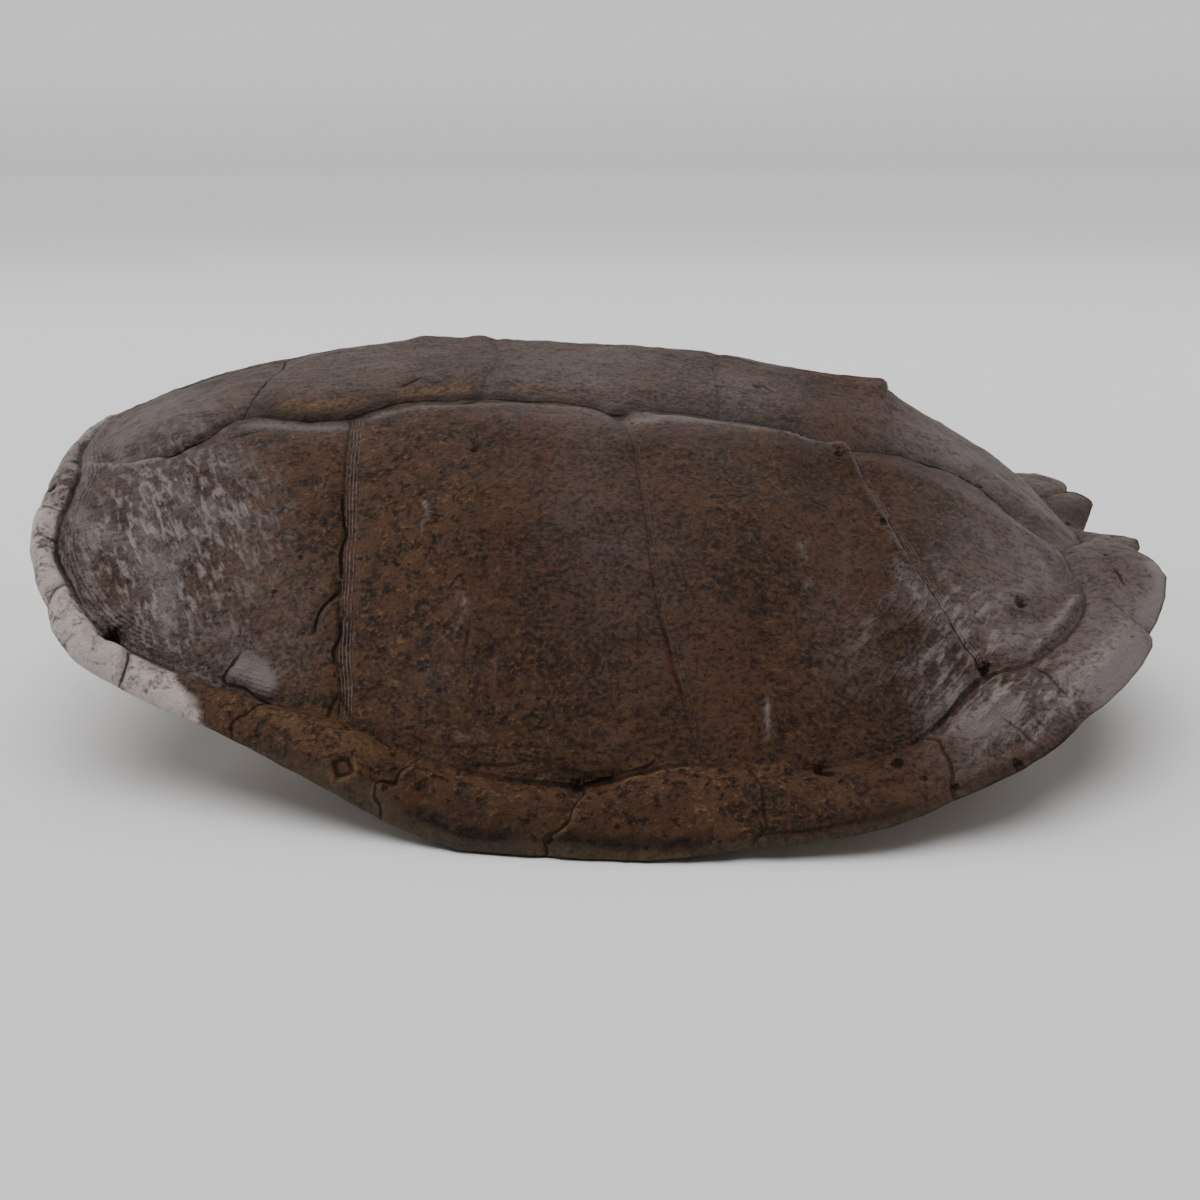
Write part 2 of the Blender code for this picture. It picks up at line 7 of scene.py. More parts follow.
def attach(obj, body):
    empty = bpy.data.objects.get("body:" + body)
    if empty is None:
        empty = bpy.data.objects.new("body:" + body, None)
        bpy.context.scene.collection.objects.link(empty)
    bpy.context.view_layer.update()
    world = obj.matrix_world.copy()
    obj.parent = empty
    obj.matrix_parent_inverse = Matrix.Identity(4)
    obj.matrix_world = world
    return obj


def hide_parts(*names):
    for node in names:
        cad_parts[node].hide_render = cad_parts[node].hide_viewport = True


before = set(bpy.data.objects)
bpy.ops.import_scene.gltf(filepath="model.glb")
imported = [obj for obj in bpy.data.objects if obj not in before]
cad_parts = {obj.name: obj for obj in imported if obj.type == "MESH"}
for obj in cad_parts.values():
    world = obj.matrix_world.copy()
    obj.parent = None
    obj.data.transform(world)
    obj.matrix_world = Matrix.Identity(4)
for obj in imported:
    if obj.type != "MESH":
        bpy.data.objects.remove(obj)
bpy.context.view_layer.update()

# All that a user would change on the shell. Lengths are millimetres; x runs from the head end to the tail
# end, y is the distance from the middle line. The form tables give one side, and the other mirrors it.
# The seam count is 0 at the neck and 13 at the tail; across the marginal band a place runs from 0 at the
# inner seam to 1 at the free edge. A mark's place is "dome" with x and y, or "band" with seam count and
# place across, on the animal's left, its right or both.
carapace = {
    "cells": 288,            # cells along the square that is wrapped onto the outside
    "underCells": 96,        # the same for the hollow underneath
    "bandRings": 25,         # outer rings that make the marginal band and its turned edge
    "underBandRings": 4,
    "shiftX": 5.21,          # the tables' x to the frame's x
    "halfSize": (168, 152),  # half the length and half the width
    "give": 200.0,           # how softly the dome follows its points
    "wall": 5.0,
    "edgeWidth": 6.5,
    "turnedIn": 1.5,         # how far in the last ring of the outside lies
    # seam count, x, y, z
    "innerSeam": [
        (0, -163.5, 0, 78.5), (1, -163, 23, 76.5), (1.35, -161, 37, 74.5), (1.7, -155.5, 54, 71.5),
        (2, -155, 70, 65), (3, -147, 90, 48), (4, -127, 105, 36), (5, -87, 118, 27), (5.45, -69, 124, 25),
        (6, -47, 132, 18), (7, -7, 139, 14), (7.75, 23, 136, 18), (8, 36, 136, 17), (9, 79, 125, 22),
        (9.5, 95, 111, 32), (10, 109, 104, 34), (11, 130, 74, 42), (11.6, 130, 48, 48), (12, 141, 27, 45.5),
        (12.5, 143.5, 12, 44.2), (13, 142, 0, 44.4),
    ],
    "freeEdge": [
        (0, -168, 0, 74), (1, -168, 24, 72.5), (2, -163.5, 66, 63), (3, -151, 97, 45), (4, -127, 116, 29.4),
        (5, -94, 130, 20.5), (5.5, -75, 137, 13.2), (6, -55, 143, 5), (7, -15, 151.5, -1), (8, 34, 152, 3.2),
        (9, 83, 143, 12), (10, 119, 120, 23.5), (11, 145, 85, 35), (12, 154, 40, 45.5), (13, 149, 0, 40),
    ],
    # tooth of each marginal: reach, place along the scute, lift
    "teeth": [
        (0, 0.5, 0), (0, 0.5, 0), (1.5, 0.5, 0), (2.5, 0.45, -0.6), (0.3, 0.7, 0.5), (0.3, 0.75, 0.7),
        (0.8, 0.5, 0), (0.5, 0.5, 0), (1.2, 0.6, -1.1), (1.8, 0.65, 0.6), (2, 0.78, 0.5), (3.8, 0.5, 3.2),
        (5.5, 0.42, 1.5),
    ],
    # roll of each marginal: height, place across the band
    "lips": [
        (0.6, 0.35), (1, 0.35), (2.6, 0.35), (2.8, 0.35), (2.2, 0.4), (1.8, 0.4), (2, 0.4), (1.8, 0.4),
        (1.6, 0.4), (1.3, 0.4), (1.2, 0.35), (1.4, 0.3), (0, 0.3),
    ],
    # points that the dome goes through: x, z on the middle line, and x, y, z beside it
    "middle": [
        (-150, 85.5), (-130, 91.5), (-107, 96.5), (-75, 101.5), (-42, 102.5), (0, 100.5), (34, 98.5),
        (60, 92.5), (84, 86), (105, 74), (121, 64), (134, 53),
    ],
    "corners": [
        (-110, 47, 89), (-77, 53, 88), (-39, 46, 94), (0, 52, 90), (29, 44, 88), (65, 45, 79), (88, 29, 74),
        (109, 34, 66),
    ],
    "crowns": [(-108, 84, 68), (-35, 98, 66), (42, 95, 62), (103, 72, 55)],
    # crest from x, y to x, y; height at each end, half width
    "keels": [
        (-125, 0, -62, 0, 0.4, 1.5, 9), (-60, 0, -46, 0, 1.3, 1.9, 8), (-36, 0, 4, 0, 0.9, 0.8, 9),
        (4, 0, 29, 0, 0.7, 0.9, 9), (44, 0, 80, 0, -0.6, 3.2, 8), (92, 0, 128, 0, 0.8, 1.2, 8),
        (-100, 66, -82, 64, 0.5, 1.2, 9), (-60, 60, -10, 62, 0.8, 2.2, 9), (8, 62, 60, 55, 1.6, 3, 8),
        (74, 50, 122, 55, 2.2, 1.6, 8),
    ],
    "backbone": (-118, 112, 6.0, 8.0),                         # from x, to x, height, half width
    # pairs of ribs: x of the first at the middle line, from one to the next, lean to the rear
    "ribs": {"count": 8, "first": -98, "spacing": 26, "sweep": 0.16, "width": 5.0, "height": 1.5,
             "length": 104},
    "ledge": (83.5, 1.6, 12, 8, 2.0),                          # x, rise, length, half width, height
    "knob": (62.5, 51.5, 3.2, 1.6),                            # x, y, radius, height
    "headLip": (3.6, 2.0, 95, 130, 0.8),                       # from the seam, width, from -x, to -x, height
    "slab": ((-97.6, 111.4), (-87, 117.2), 2.8, 0.9, 0.8),     # left: ends, half width, soft edge, height
    "lumps": ((0.34, 9.0), (0.42, 4.2)),                       # height and size, coarse and fine
    "nibble": (0.5, 4.5),                                      # the same along the free edge
    # where streaks lie: x, y, radius, how much longer than wide
    "slantedPlace": (-122, 84, 30, 1.1),
    "rearPlace": (82, 104, 25, 1),
    "rakedPlace": (78, 105, 20, 1),
    "rakedBandPlace": (100, 116, 20, 1),
    "rowsPlace": (-20, 133, 6, 3.5),
    "paleFrontTo": 4.33,      # seam count where the pale front marginals end
    "rusty": (4.4, 8.9),     # the rusty ones, from and to
    "paleFrom": 8.7,         # where the pale rear ones begin
    # seams between neighbours: points, dark line, lips towards head and tail, lined strip's width, strength
    "vertebralEdge": [
        (-156, 52.5), (-149, 54.5), (-141, 56.8), (-135, 57.2), (-126, 57), (-119, 53.5), (-111, 46),
        (-105, 46.5), (-98, 48.5), (-88, 49.5), (-77, 49.5), (-70, 46), (-62, 43.5), (-53, 43.5), (-46, 45),
        (-40, 44), (-28, 45.6), (-16, 45.8), (-7, 46.5), (-1, 50), (4, 47.7), (11, 44.7), (18, 43.3),
        (29, 42.8), (41, 42.4), (50, 43), (58, 45), (65, 44), (74, 38.4), (81, 34), (88, 31.5), (95, 30),
        (100, 30), (105, 32), (110, 33.6), (114, 37), (118, 41), (124, 44.8), (131, 49),
    ],
    "across": [
        ([(-106, 0), (-105, 12), (-106.5, 26), (-108, 38), (-110.5, 46.5)], 0.75, 0.1, 0.3, 0, 0),
        ([(-41, 0), (-37, 14), (-37, 24), (-39, 34), (-40, 44.5)], 0.22, 0.3, 0.3, 3, 0.4),
        ([(31, 0), (29, 12), (29.5, 28), (30.4, 43)], 0.22, 0.1, 0.1, 2, 0.2),
        ([(83, 0), (83, 12), (85.5, 21), (88, 31)], 0.15, 0.5, 0, 0, 0),
        ([(-77, 49.5), (-75.7, 55), (-74.6, 65), (-74, 74), (-73, 82), (-72.2, 90), (-71.7, 98),
          (-71.2, 106), (-70.4, 114), (-69.2, 119.5), (-69, 124)], 0.4, 0.3, 0.1, 4.6, 0.9),
        ([(-1, 50), (4.7, 67), (7.3, 82.6), (9.3, 95.5), (11.4, 108), (15, 118.6), (18.7, 127),
          (23, 136)], 0.3, 0.1, 0.3, 3.6, 0.6),
        ([(64.6, 44), (68.4, 55.8), (72, 65.4), (75.3, 73.8), (78.5, 81), (81, 87), (84, 92), (87, 97.2),
          (90.3, 102.3), (96.5, 110)], 0.85, 1.7, 0.2, 3.6, 0.75),
    ],
    # seams of the marginals as seam count and place across; dark line, lips towards head and tail
    "marginal": [
        ([(1, 0), (1.02, 0.5), (1, 1)], 0.6, 0.1, 0.1),
        ([(2, 0), (2.03, 0.28), (2, 0.7), (2, 1)], 0.7, 0.2, 0.1),
        ([(2.95, 0), (2.96, 0.55), (3, 1)], 0.6, 0.1, 0.2),
        ([(4.01, 0), (4.04, 0.4), (4.02, 0.85), (4, 1)], 0.9, 0.5, 0.1),
        ([(5.01, 0), (4.99, 0.23), (4.97, 0.51), (4.93, 0.78), (4.98, 1)], 0.8, 0.1, 0.2),
        ([(6.01, 0), (5.99, 0.18), (5.96, 0.39), (5.97, 0.48), (5.87, 0.6), (5.89, 0.73), (5.96, 0.87),
          (5.98, 1)], 0.8, 0, 0.9),
        ([(7, 0), (7.06, 0.15), (7.05, 0.37), (7.05, 0.58), (7.01, 0.68), (6.96, 0.76), (7, 0.9),
          (7, 1)], 0.8, 0, 0.7),
        ([(7.97, 0), (8.03, 0.32), (8.05, 0.58), (8.06, 0.77), (8.02, 0.88), (8, 1)], 0.6, 0.3, 0.4),
        ([(8.97, 0), (9.02, 0.18), (9.04, 0.39), (9.05, 0.59), (9.01, 0.84), (9.01, 1)], 0.65, 0.1, 0.4),
        ([(9.96, 0), (9.98, 0.24), (9.98, 0.49), (9.99, 0.67)], 0.6, 0.1, 0.2),
        ([(11.02, 0), (11.04, 0.2), (11.04, 0.4), (10.98, 0.8), (11, 1)], 0.3, 0.2, 0.1),
        ([(11.97, 0), (12.03, 0.5), (12, 1)], 0.4, 0.1, 0.1), ([(13, 0), (13, 1)], 0.6, 0.1, 0.1),
    ],
    # strengths by seam count: the inner seam's groove and its dark line; where the worn rim starts
    "grooveDepth": [
        (0, 0.1), (1, 0.25), (1.8, 0.4), (4.1, 0.9), (4.6, 0.4), (5.5, 0.15), (6.3, 0.2), (7, 0.5),
        (7.8, 0.25), (8.7, 0.3), (9, 0.5), (10, 0.4), (11, 0.3), (12, 0.25), (13, 0.25),
    ],
    "grooveInk": [
        (0, 0.5), (1, 0.8), (2, 0.9), (4, 0.9), (4.6, 0.6), (5.2, 0.2), (6, 0.3), (7, 0.8), (7.8, 0.6),
        (8.7, 0.4), (9, 0.8), (10, 0.6), (10.5, 0.7), (11, 0.6), (12, 0.5), (13, 0.5),
    ],
    "rimStart": [
        (0, 0.97), (4.8, 0.95), (5.3, 0.85), (5.6, 0.66), (5.9, 0.62), (6.1, 0.8), (6.5, 0.85), (7, 0.8),
        (7.6, 0.93), (8.2, 0.88), (9.2, 0.9), (10, 0.97), (13, 0.97),
    ],
    # points, depth (raised if negative), half width, dark line (an ochre edge if negative)
    "cracks": {
        "left dome": [
            ([(-131, 56.9), (-126.6, 57.1), (-122.9, 55.3), (-119.2, 53.6), (-115.8, 50.6),
              (-111.4, 47)], 0.8, 1.1, 1),
            ([(-156, 51), (-149.7, 53.1), (-141, 56.8), (-134.7, 58), (-129, 58)], -1.3, 1.2, 0),
            ([(-110.8, 59.6), (-106.8, 58.8), (-103.5, 58.1), (-100.2, 57.7)], 0.3, 1, 0.8),
            ([(-96.2, 108.8), (-98.8, 111.2), (-100.6, 113), (-96.8, 114.4), (-92.6, 116.2),
              (-89.4, 117.8), (-86, 119.4)], 0.6, 1.1, 0.9),
            ([(-70.9, 101), (-73.7, 102.5), (-76.1, 104.3), (-77.9, 108.4)], 1.2, 1.2, 1),
            ([(-69, 119.8), (-67, 122.4), (-65.2, 124.4)], 0.6, 1, 0.55),
            ([(-69.2, 119.6), (-70.8, 121.6), (-71.8, 124.2)], 0.6, 1.1, 0.8),
            ([(-104, 46), (-95.5, 48.6), (-89.4, 50), (-82, 49.7)], 0.3, 1.1, 0.5),
            ([(-2.5, 0.3), (-0.6, 2.6), (0.6, 3.9)], 0.4, 1, 0.9),
            ([(-64.6, 36.6), (-61.1, 34.8), (-58, 32.8)], 0.5, 1, 0.8),
            ([(-44.4, 47.9), (-41.6, 46.2), (-39.4, 44)], 0.6, 1.1, 0.9),
            ([(-8.9, 138.2), (-5.5, 138.8), (-2, 138.4), (3.3, 137.6)], 1.6, 1.7, 1),
            ([(2.5, 137.3), (6.5, 136.9), (11.8, 135.2)], 0.6, 1.1, 0.8),
            ([(12.2, 110.5), (14.6, 116), (16.4, 121), (18.4, 126)], 0.3, 0.8, 0.55),
            ([(-50.6, 86.6), (-48.6, 90.1), (-49.9, 92), (-49.9, 94.6)], -0.9, 0.9, 0),
            ([(-55.6, 90.3), (-57.4, 93.2)], -0.4, 1, 0), ([(-49.6, 84), (-47.4, 86.6)], -0.4, 1, 0),
            ([(-38.5, 107.4), (-36.9, 110.4), (-34.2, 113.2)], -0.5, 1.1, 0),
            ([(-36.8, 111), (-38.8, 112.2), (-39.6, 114.4)], -0.5, 1.1, 0),
            ([(-36.2, 112.6), (-36.6, 115), (-37.2, 117.4)], 0.4, 1, 0.4),
            ([(-29.5, 103.2), (-28, 106.2)], -0.4, 1, 0), ([(-28.7, 118.4), (-27.8, 122)], -0.4, 1, 0),
            ([(39, 123.5), (39.3, 127), (39.2, 131.5)], -1.2, 0.9, 0),
            ([(78, 125.8), (82.6, 121.4), (86.9, 117), (90.8, 113), (95.2, 108.8)], -1.3, 1.4, 0),
            ([(107, 104.5), (113.2, 96), (117.8, 90), (123.6, 81), (128.8, 73.6)], -1.5, 1.4, 0),
            ([(4, 48.4), (11, 50.8), (20, 49.8), (30, 49.6), (42, 48.6), (52, 49.3), (60, 51.4)], -1, 2.2, 0),
            ([(-58, 50.2), (-46, 52), (-32, 52.4), (-18, 53), (-7, 54.4)], -0.5, 2.4, 0),
            ([(-73.9, 80), (-72.6, 86), (-71.4, 89.8), (-72.2, 93.5), (-71.2, 99.6)], 0.5, 0.9, 1),
            ([(-70.7, 106), (-70.6, 109.6), (-71.4, 112.3), (-71, 114.5)], 0.4, 0.9, 1),
            ([(24, 135.4), (30, 135.7), (36, 135.8), (41, 135.6), (47, 134.8)], -0.4, 0.9, -0.6),
            ([(29, 57), (38, 53.5), (40.5, 50.8), (45, 50.2), (53, 48.4), (58, 48.8)], -0.5, 0.8, -0.6),
            ([(42, 21), (44, 23), (46.5, 25)], 0.3, 0.8, 0.7),
            ([(-52, 128), (-45, 130.4), (-36, 131.6), (-27, 131.8)], 0.4, 0.9, 0.4),
            ([(-38, 134.4), (-29, 135), (-20, 135), (-10, 135)], 0.45, 0.9, 0.5),
            ([(-23, 132), (-14, 132.8), (-3, 133)], 0.4, 0.9, 0.4),
            ([(-40, 129.4), (-33, 130.2), (-28, 130)], -0.5, 0.9, 0),
            ([(-18, 137), (-12, 136.6), (-7, 137)], 0.5, 0.9, 0.5),
        ],
        "left band": [
            ([(11.43, 0.45), (11.36, 0.5), (11.27, 0.55)], 0.5, 1, 0.8),
            ([(9.46, 0.5), (9.52, 0.7), (9.55, 0.86)], 0.4, 1.1, 0.6),
            ([(9.7, 0.5), (9.66, 0.69), (9.7, 0.86)], 0.4, 1.1, 0.5),
            ([(6.02, 0.01), (5.995, 0.18), (5.98, 0.42)], -0.9, 1, -0.9),
            ([(5.885, 0.6), (5.885, 0.73), (5.99, 0.89)], -0.7, 0.9, -0.6),
            ([(7.075, 0.17), (7.07, 0.35), (7.055, 0.5), (7.03, 0.65)], -0.7, 1.1, -0.5),
            ([(6.95, 0.73), (7.02, 0.7), (7.09, 0.6)], -0.6, 1, -0.5),
            ([(7.28, 0.06), (7.36, 0.05), (7.46, 0.06), (7.55, 0.04), (7.66, 0.03),
              (7.74, 0.02)], -0.8, 0.9, -0.8),
            ([(9.01, 0.07), (9.04, 0.21), (9.06, 0.35)], -0.5, 1, -0.9),
            ([(8.04, 0.88), (8.12, 0.84), (8.3, 0.84), (8.56, 0.84)], 0.7, 0.9, 0.5),
        ],
        "right dome": [
            ([(-5.8, 3.9), (-4, 2), (-2.5, 0.3)], 0.4, 1, 0.9),
            ([(-92, 66), (-88, 72), (-83, 75), (-81, 81)], 0.7, 1.1, 0.9),
            ([(-26, 96), (-24, 101), (-25.5, 107)], -0.6, 1.2, 0),
            ([(12, 112), (14, 118), (18, 124)], 0.6, 1.1, 0.9),
            ([(48, 84), (52, 90), (51, 95)], -0.6, 1.1, 0),
            ([(-58, 24), (-53, 27), (-49, 26.4)], 0.4, 1, 0.8),
            ([(-120, 84), (-114, 90), (-110, 98)], 0.4, 1.1, 0.6),
            ([(98, 74), (103, 79), (104, 85)], 0.5, 1.1, 0.7),
            ([(107, 104.5), (113.2, 96), (117.8, 90), (123.6, 81), (128.8, 73.6)], -1.1, 1.9, 0),
            ([(78, 125.8), (86.9, 117), (95.2, 108.8)], -1, 1.8, 0),
            ([(4, 48.4), (11, 50.8), (20, 49.8), (30, 49.6), (42, 48.6), (52, 49.3),
              (60, 51.4)], -0.9, 2.2, 0),
            ([(-58, 50.2), (-46, 52), (-32, 52.4), (-18, 53), (-7, 54.4)], -0.5, 2.4, 0),
        ],
        "right band": [
            ([(6.4, 0.3), (6.5, 0.42), (6.48, 0.6)], 0.5, 1.1, 0.8),
            ([(3.4, 0.4), (3.6, 0.55), (3.7, 0.75)], 0.4, 1.1, 0.6),
        ],
    },
    # point, radius, depth, raised rim
    "pits": {
        "left dome": [
            ((-133.6, 101.6), 3.2, 2.8, 0), ((108.6, 87.8), 2, 1.5, 1.4), ((73.2, 75.8), 1.9, 1.2, 0.5),
            ((61.6, 55.8), 1.2, 0.9, 0.2), ((93.1, 30.8), 1.5, 0.7, 0), ((108.9, 32.4), 1.4, 0.7, 0.1),
            ((111.5, 42.3), 1, 0.5, 0), ((-38.3, 72.6), 1.4, 0.5, 0.3), ((95.9, 108.6), 2, 1, 0),
            ((4.9, 56.8), 1.1, 0.4, 0.1), ((32.1, 50.3), 0.8, 0.3, 0), ((-83.1, 93.6), 1.1, 0.5, 0),
            ((-88.9, 99.6), 1.4, 0.5, 0), ((41.6, 23.4), 1.6, 0.5, 0.1), ((-47, 104), 0.8, 0.3, 0),
            ((-131.3, 100.4), 1.1, 0.6, 0), ((-129.4, 101.4), 0.9, 0.5, 0), ((-130.8, 98.4), 0.8, 0.4, 0),
            ((-127.6, 100.2), 0.8, 0.4, 0), ((-128.7, 97.8), 0.7, 0.3, 0), ((7, 49.4), 1, 0.4, 0),
            ((1.5, 52.6), 1, 0.5, 0), ((94, 109.4), 1.3, 0.7, 0), ((97.4, 106.8), 1.2, 0.6, 0),
        ],
        "left band": [
            ((1.79, 0.58), 1.6, 0.7, 0.1), ((2.32, 0.03), 0.9, 0.6, 0), ((3.14, 0.13), 1.2, 0.7, 0),
            ((4.27, 0.84), 0.8, 0.4, 0.1), ((3.79, 0.14), 1.5, 1.2, 0), ((7, 0.05), 1.8, 0.9, 0),
            ((8.32, 0.04), 1.7, 1, 0.1), ((8.37, 0.12), 1.6, 0.9, 0), ((8.43, 0.28), 1.3, 0.6, 0),
            ((8.75, 0.27), 1.7, 1.3, 1.3), ((11.58, 0.42), 1.2, 0.8, 0.1), ((9.41, 0.92), 1.6, 0.8, 0),
            ((9.03, 0.85), 1.3, 0.7, 0), ((10.78, 0.7), 0.9, 0.3, 0), ((11.9, 0.12), 1.5, 0.9, 0),
            ((8.88, 0.61), 1, 0.5, 0), ((6.99, 0.78), 1.3, 0.8, 0.3), ((1.5, 0.1), 1, 0.5, 0),
            ((12.3, 0.62), 1.4, 0.8, 0.1), ((8.34, 0.09), 1.1, 0.7, 0),
        ],
        "right dome": [
            ((-118, 72), 1.7, 0.9, 0.3), ((-52, 82), 1.2, 0.6, 0.2), ((-14, 112), 1.9, 1.1, 0.3),
            ((36, 78), 1.3, 0.7, 0.2), ((88, 62), 1.8, 1, 0.4), ((62, 110), 1.1, 0.6, 0),
            ((20, 30), 1, 0.4, 0),
        ],
        "right band": [
            ((12.87, 0.3), 1.2, 0.6, 0), ((2.4, 0.4), 1.4, 0.7, 0.1), ((5.4, 0.3), 1.8, 1, 0.3),
            ((7.6, 0.55), 1.5, 0.8, 0), ((9.6, 0.35), 1.7, 1, 0.3), ((10.6, 0.6), 1.2, 0.7, 0),
        ],
    },
    # a square scar: seam count and place across, half width, rim, hollow
    "scar": (5.665, 0.64, 3.3, 0.7, 0.5),
    # patches of colour: x, y, radius, strength
    # pale: where the lilac film lies, partly pale horn and partly painted sheen on the upper and rear scutes
    "pale": [
        (-84, 106, 13, 0.3), (-14, 82, 13, 0.06), (-12, 106, 15, 0.08), (-44, 118, 12, 0.12),
        (96, 92, 12, 0.25), (-136, 90, 18, 0.35), (-122, 106, 12, 0.45), (-146, 80, 12, 0.25),
        (-114, 78, 18, 0.3), (-110, 96, 17, 0.35), (-98, 88, 10, 0.4), (-130, 70, 14, 0.35),
        (88, 116, 9, 0.45), (98, 100, 13, 0.45), (112, 84, 18, 0.45), (122, 66, 14, 0.45), (60, 108, 12, 0.2),
        (-96, 114, 8, 0.4), (132, 50, 12, 0.55), (104, 56, 14, 0.3), (-140, 30, 30, 0.8), (-80, 16, 32, 0.62),
        (-10, 20, 36, 0.62), (40, 24, 20, 0.4), (104, 14, 26, 0.9), (102, 70, 22, 0.14), (-8, 60, 14, 0.22),
        (28, 60, 14, 0.2), (10, 104, 20, 0.18), (-6, 90, 14, 0.15),
    ],
    "rust": [
        (-88, 72, 18, 1), (-86, 92, 18, 0.9), (-98, 80, 12, 0.4), (-58, 72, 16, 1), (-56, 92, 18, 1),
        (-52, 114, 18, 0.9), (-34, 84, 12, 0.4), (40, 62, 14, 0.55), (34, 84, 18, 0.45), (-22, 128, 14, 0.7),
        (14, 70, 8, 0.5), (92, 46, 12, 0.35), (68, 8, 12, 0.8), (-60, 54, 9, 0.8), (-44, 55, 9, 0.6),
        (-96, 62, 9, 0.7), (46, 122, 14, 0.4), (-74, 120, 12, 0.7), (-48, 40, 7, 0.8), (-20, 39, 12, 0.5),
        (-90, 44, 9, 0.8), (-112, 36, 10, 0.4), (68, 76, 10, 0.4),
    ],
    # smears of colour along lines: points, half width, strength
    "smears": {
        "brown": {
            "left dome": [
                ([(-104, 47), (-97, 49.6), (-89, 50.4)], 1.8, 0.7),
                ([(-64, 60), (-52, 58), (-40, 60)], 5, 0.35),
                ([(6, 68), (20, 62), (40, 60), (56, 60)], 5, 0.3),
            ],
            "left band": [
                ([(9.75, 0.04), (9.9, 0.14), (9.87, 0.34)], 3.6, 0.7),
                ([(9.06, 0.86), (9.24, 0.9), (9.58, 0.95), (9.86, 0.96), (10.3, 0.98)], 1.8, 0.6),
            ],
            "both dome": [
                ([(-108, 41.5), (-100, 44), (-92, 45.6), (-83, 45.6), (-75, 44), (-63, 42.6), (-51, 43.6),
                  (-40, 44.4)], 4.2, 0.8),
                ([(-74, 48.5), (-62, 47), (-51, 47), (-39, 47.6), (-28, 47.6), (-16, 47.6),
                  (-5, 48.8)], 1.8, 0.9),
                ([(0, 51), (7, 48.7), (12, 47), (21, 46), (30, 45.4)], 1.5, 0.85),
                ([(24, 62), (35, 57.6), (46, 55), (58, 53)], 2.4, 0.6),
            ],
            "right band": [([(12.9, 0.5), (12.6, 0.6), (12.3, 0.7)], 7, 0.9)],
        },
        # pale lilac smears: partly a film on the horn, partly painted sheen and highlights on ridges and the
        # rear marginals
        "filmAndSheen": {
            "left dome": [
                ([(74, 88), (78, 91), (79, 96), (81, 102)], 1.3, 0.8),
                ([(73, 115), (79, 110), (85, 106), (89, 104)], 1.2, 0.9),
                ([(73, 117.4), (78, 118.4), (81, 118)], 1, 0.8), ([(53, 89), (49, 92), (51, 95)], 0.8, 0.7),
                ([(52, 99), (49.4, 102)], 0.8, 0.6), ([(38.9, 124), (39.4, 127), (39, 130)], 0.7, 0.3),
                ([(-155, 52.6), (-149, 54.4), (-141, 57), (-135, 57.2)], 1, 0.9),
                ([(-99, 111.5), (-92, 112.6), (-87, 116.4)], 3.5, 1.5),
                ([(-128, 105), (-116, 110), (-104, 112)], 4, 0.6),
            ],
            "left band": [([(9.17, 0.34), (9.46, 0.45), (9.63, 0.36)], 4.4, 1.3)],
            "both dome": [
                ([(-106, 52.5), (-96, 54.5), (-84, 56), (-76, 57)], 3.2, 0.8),
                ([(-72, 52.6), (-62, 50.8), (-47, 51), (-33, 51.6), (-16, 51.6), (-2, 53.4)], 2.8, 0.6),
                ([(3, 57), (12, 52.5), (24, 49.6), (35, 48), (47, 47), (55, 48), (63, 49)], 3.2, 1),
                ([(109, 101.6), (114, 95.8), (120, 88.6), (128, 75.8)], 1.1, 0.7),
                ([(79, 122.6), (83, 119.6), (87, 115.6), (92, 111.4)], 1.8, 0.9),
                ([(63, 47), (70, 63), (77, 82), (84, 95)], 1.5, 0.8),
            ],
            "both band": [
                ([(11.7, 0.93), (11.38, 0.95), (11.18, 0.9), (11, 0.88)], 3.8, 1.4),
                ([(10.84, 0.76), (10.61, 0.8), (10.34, 0.83), (10.12, 0.86)], 5.2, 1.8),
            ],
        },
        # painted highlights along raised cracks, scars and ridges
        "white": {
            "left dome": [
                ([(-156, 51), (-149.7, 53.1), (-141, 56.8), (-134.7, 58), (-129, 58)], 0.8, 0.8),
                ([(39, 125), (39.3, 127.8), (39.2, 130)], 0.5, 0.3),
                ([(-50.6, 86.6), (-48.6, 90.1), (-49.9, 92)], 0.7, 0.4),
                ([(-38.5, 107.4), (-36.9, 110.4)], 0.6, 0.3), ([(-146, 80), (-143, 87), (-139, 93)], 1, 0.35),
                ([(-112, 111), (-105, 113), (-99, 115)], 1.2, 0.3),
                ([(74, 90), (78, 93), (80, 97)], 0.8, 0.4), ([(76, 114), (82, 108.6), (87, 105)], 0.8, 0.4),
            ],
            "left band": [([(9.14, 0.2), (9.4, 0.3), (9.6, 0.24)], 1.6, 0.4)],
            "both dome": [([(110, 100.6), (114.5, 94.6), (120, 87), (126.4, 77)], 0.8, 0.5)],
        },
        # painted shade: dark smears beside the vertebral seam, by a pit and low on the rear marginals
        "shade": {
            "left dome": [
                ([(-103, 47), (-95, 49), (-89, 50), (-84, 50)], 1.2, 0.8),
                ([(0, 52), (7, 49), (12, 47), (21, 46)], 0.9, 0.7),
                ([(-137, 99), (-133, 102), (-128, 101)], 2, 0.5),
            ],
            "both band": [
                ([(5.7, 0.4), (6.2, 0.55), (7, 0.6), (7.7, 0.55)], 6, 0.3),
                ([(6.1, 0.76), (6.5, 0.8), (6.8, 0.78)], 2.8, 1.1),
                ([(7, 0.78), (7.4, 0.86), (7.8, 0.9)], 2.6, 1.1),
                ([(8.1, 0.9), (8.4, 0.92), (8.8, 0.94)], 3, 0.6),
            ],
        },
        "ochre": {
            "left dome": [([(63, 50.4), (64.4, 52)], 1.5, 1), ([(12, 134.8), (5, 137)], 1, 0.6)],
            "left band": [([(5.72, 0.52), (5.725, 0.72)], 0.9, 0.9)],
            "both dome": [
                ([(-98, 42.4), (-90, 44), (-80, 44), (-73, 42)], 2.6, 0.6),
